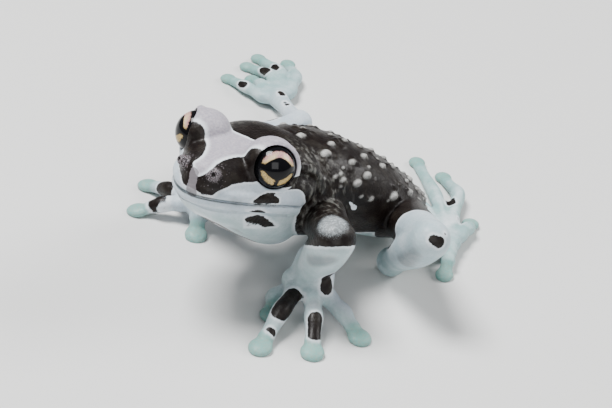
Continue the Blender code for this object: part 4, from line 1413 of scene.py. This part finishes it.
class FROG_OT_eyes(bpy.types.Operator):
    """Build both eyeballs with their golden iris"""
    bl_idname = "frog.eyes"
    bl_label = "Eyes"

    def execute(self, context):
        material = eye_material()
        place = place_by_eye()
        iris = build_sizes().iris / MM
        for side, name in ((1, "left_eye"), (-1, "right_eye")):
            bm = bmesh.new()
            bmesh.ops.create_uvsphere(bm, u_segments=EYE_SEGMENTS[0], v_segments=EYE_SEGMENTS[1],
                                      radius=EYE_RADIUS)
            ball_piece = to_object(bm, f"{name}ball")
            mesh = ball_piece.data
            points = vertex_places(mesh)
            behind = np.where(points[:, 2] > 0.0, 1.0, BEHIND_IRIS)
            set_mark(mesh, "across", points[:, 0] * side / iris * behind)
            set_mark(mesh, "upward", points[:, 1] / iris * behind)
            mesh.transform(place @ eye_frame(side))
            mesh.shade_smooth()
            mesh.materials.append(material)
            if len(mesh.vertices) < LEAST_POINTS:
                raise RuntimeError("an eye is empty")
            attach(ball_piece, "root")
            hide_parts(name)
        return {"FINISHED"}


# Camera: turned left and down to the frog, with a slight roll. POSE_ORIGIN is the place of the
# pose's origin in the picture, in pixels
CAMERA_TURN = math.radians(36.0)
CAMERA_RISE = math.radians(30.0)
CAMERA_ROLL = math.radians(-8.0)
CAMERA_DISTANCE = 351.0
CAMERA_LENS = 120.0
CAMERA_NEAR = 0.01
SENSOR = 36.0
PICTURE = (612, 408)
POSE_ORIGIN = (294.0, 254.8)

# Lights: name, place, size and power, in metres and watts
LIGHTS = (
    ("key", (-0.26, -0.16, 0.78), 0.34, 15.0),
    ("fill", (0.60, -0.50, 0.45), 0.50, 3.4),
    ("rim", (0.34, 0.55, 0.48), 0.36, 5.0),
)
LIGHT_AIM = Vector((0.0, 0.0, 0.012))
STUDIO_COLOUR = (0.9, 0.93, 1.0, 1.0)
STUDIO_STRENGTH = 0.12


def picture_axes():
    """Right, up and back of the picture plane."""
    turn, rise, roll = CAMERA_TURN, CAMERA_RISE, CAMERA_ROLL
    back = Vector((math.sin(turn) * math.cos(rise), -math.cos(turn) * math.cos(rise), math.sin(rise)))
    right = Vector((math.cos(turn), math.sin(turn), 0.0))
    up = back.cross(right)
    return (right * math.cos(roll) - up * math.sin(roll),
            right * math.sin(roll) + up * math.cos(roll), back)


def add_camera(place):
    right, up, back = picture_axes()
    focal = CAMERA_LENS / SENSOR * PICTURE[0]
    across = (PICTURE[0] / 2 - POSE_ORIGIN[0]) / focal
    down = (PICTURE[1] / 2 - POSE_ORIGIN[1]) / focal
    ahead = (right * across - up * down - back).normalized()
    side = ahead.cross(up).normalized()
    rise = side.cross(ahead)
    camera = bpy.data.objects.new("camera", bpy.data.cameras.new("camera"))
    camera.data.lens = CAMERA_LENS
    camera.data.sensor_width = SENSOR
    camera.data.clip_start = CAMERA_NEAR
    turn = Matrix((side, rise, -ahead)).transposed().to_4x4()
    camera.matrix_world = Matrix.Translation(place @ (back * CAMERA_DISTANCE)) @ turn
    bpy.context.scene.collection.objects.link(camera)
    bpy.context.scene.camera = camera


def add_floor():
    bm = bmesh.new()
    bmesh.ops.create_grid(bm, x_segments=1, y_segments=1, size=0.5 * build_sizes().floor)
    ground = to_object(bm, "floor")
    material, wire, shader = new_material("Plain floor", FLOOR_FINISH)
    wire.put(shader.inputs["Base Color"], build_colours().floor)
    ground.data.materials.append(material)


def add_light(name, location, size, power):
    lamp = bpy.data.lights.new(name, "AREA")
    lamp.size = size
    lamp.energy = power
    holder = bpy.data.objects.new(name, lamp)
    spot = Vector(location)
    turn = (LIGHT_AIM - spot).to_track_quat("-Z", "Y").to_matrix().to_4x4()
    holder.matrix_world = Matrix.Translation(spot) @ turn
    bpy.context.scene.collection.objects.link(holder)


class FROG_OT_stage(bpy.types.Operator):
    """Build the floor, the lights and the camera"""
    bl_idname = "frog.stage"
    bl_label = "Stage"

    def execute(self, context):
        add_floor()
        for light in LIGHTS:
            add_light(*light)
        world = bpy.data.worlds.new("studio")
        world.use_nodes = True
        background = world.node_tree.nodes["Background"]
        background.inputs["Color"].default_value = STUDIO_COLOUR
        background.inputs["Strength"].default_value = STUDIO_STRENGTH
        context.scene.world = world
        add_camera(place_by_eye())
        if context.scene.camera is None:
            raise RuntimeError("there is no camera")
        return {"FINISHED"}


class FROG_PT_panel(bpy.types.Panel):
    bl_label = "Milk frog"
    bl_idname = "FROG_PT_panel"
    bl_space_type = "VIEW_3D"
    bl_region_type = "UI"
    bl_category = "Frog"

    def draw(self, context):
        for group in (context.scene.frog_sizes, context.scene.frog_colours):
            for name in group.bl_rna.properties.keys():
                if name not in ("rna_type", "name"):
                    self.layout.prop(group, name)
        for operator in OPERATORS:
            self.layout.operator(operator.bl_idname)


OPERATORS = (FROG_OT_skin, FROG_OT_eyes, FROG_OT_stage)
CLASSES = (FrogSizes, FrogColours) + OPERATORS + (FROG_PT_panel,)


def register():
    for item in CLASSES:
        bpy.utils.register_class(item)
    bpy.types.Scene.frog_sizes = bpy.props.PointerProperty(type=FrogSizes)
    bpy.types.Scene.frog_colours = bpy.props.PointerProperty(type=FrogColours)


def unregister():
    del bpy.types.Scene.frog_colours
    del bpy.types.Scene.frog_sizes
    for item in reversed(CLASSES):
        bpy.utils.unregister_class(item)


def main():
    register()
    bpy.ops.frog.skin()
    bpy.ops.frog.eyes()
    bpy.ops.frog.stage()


if __name__ == "__main__":
    main()
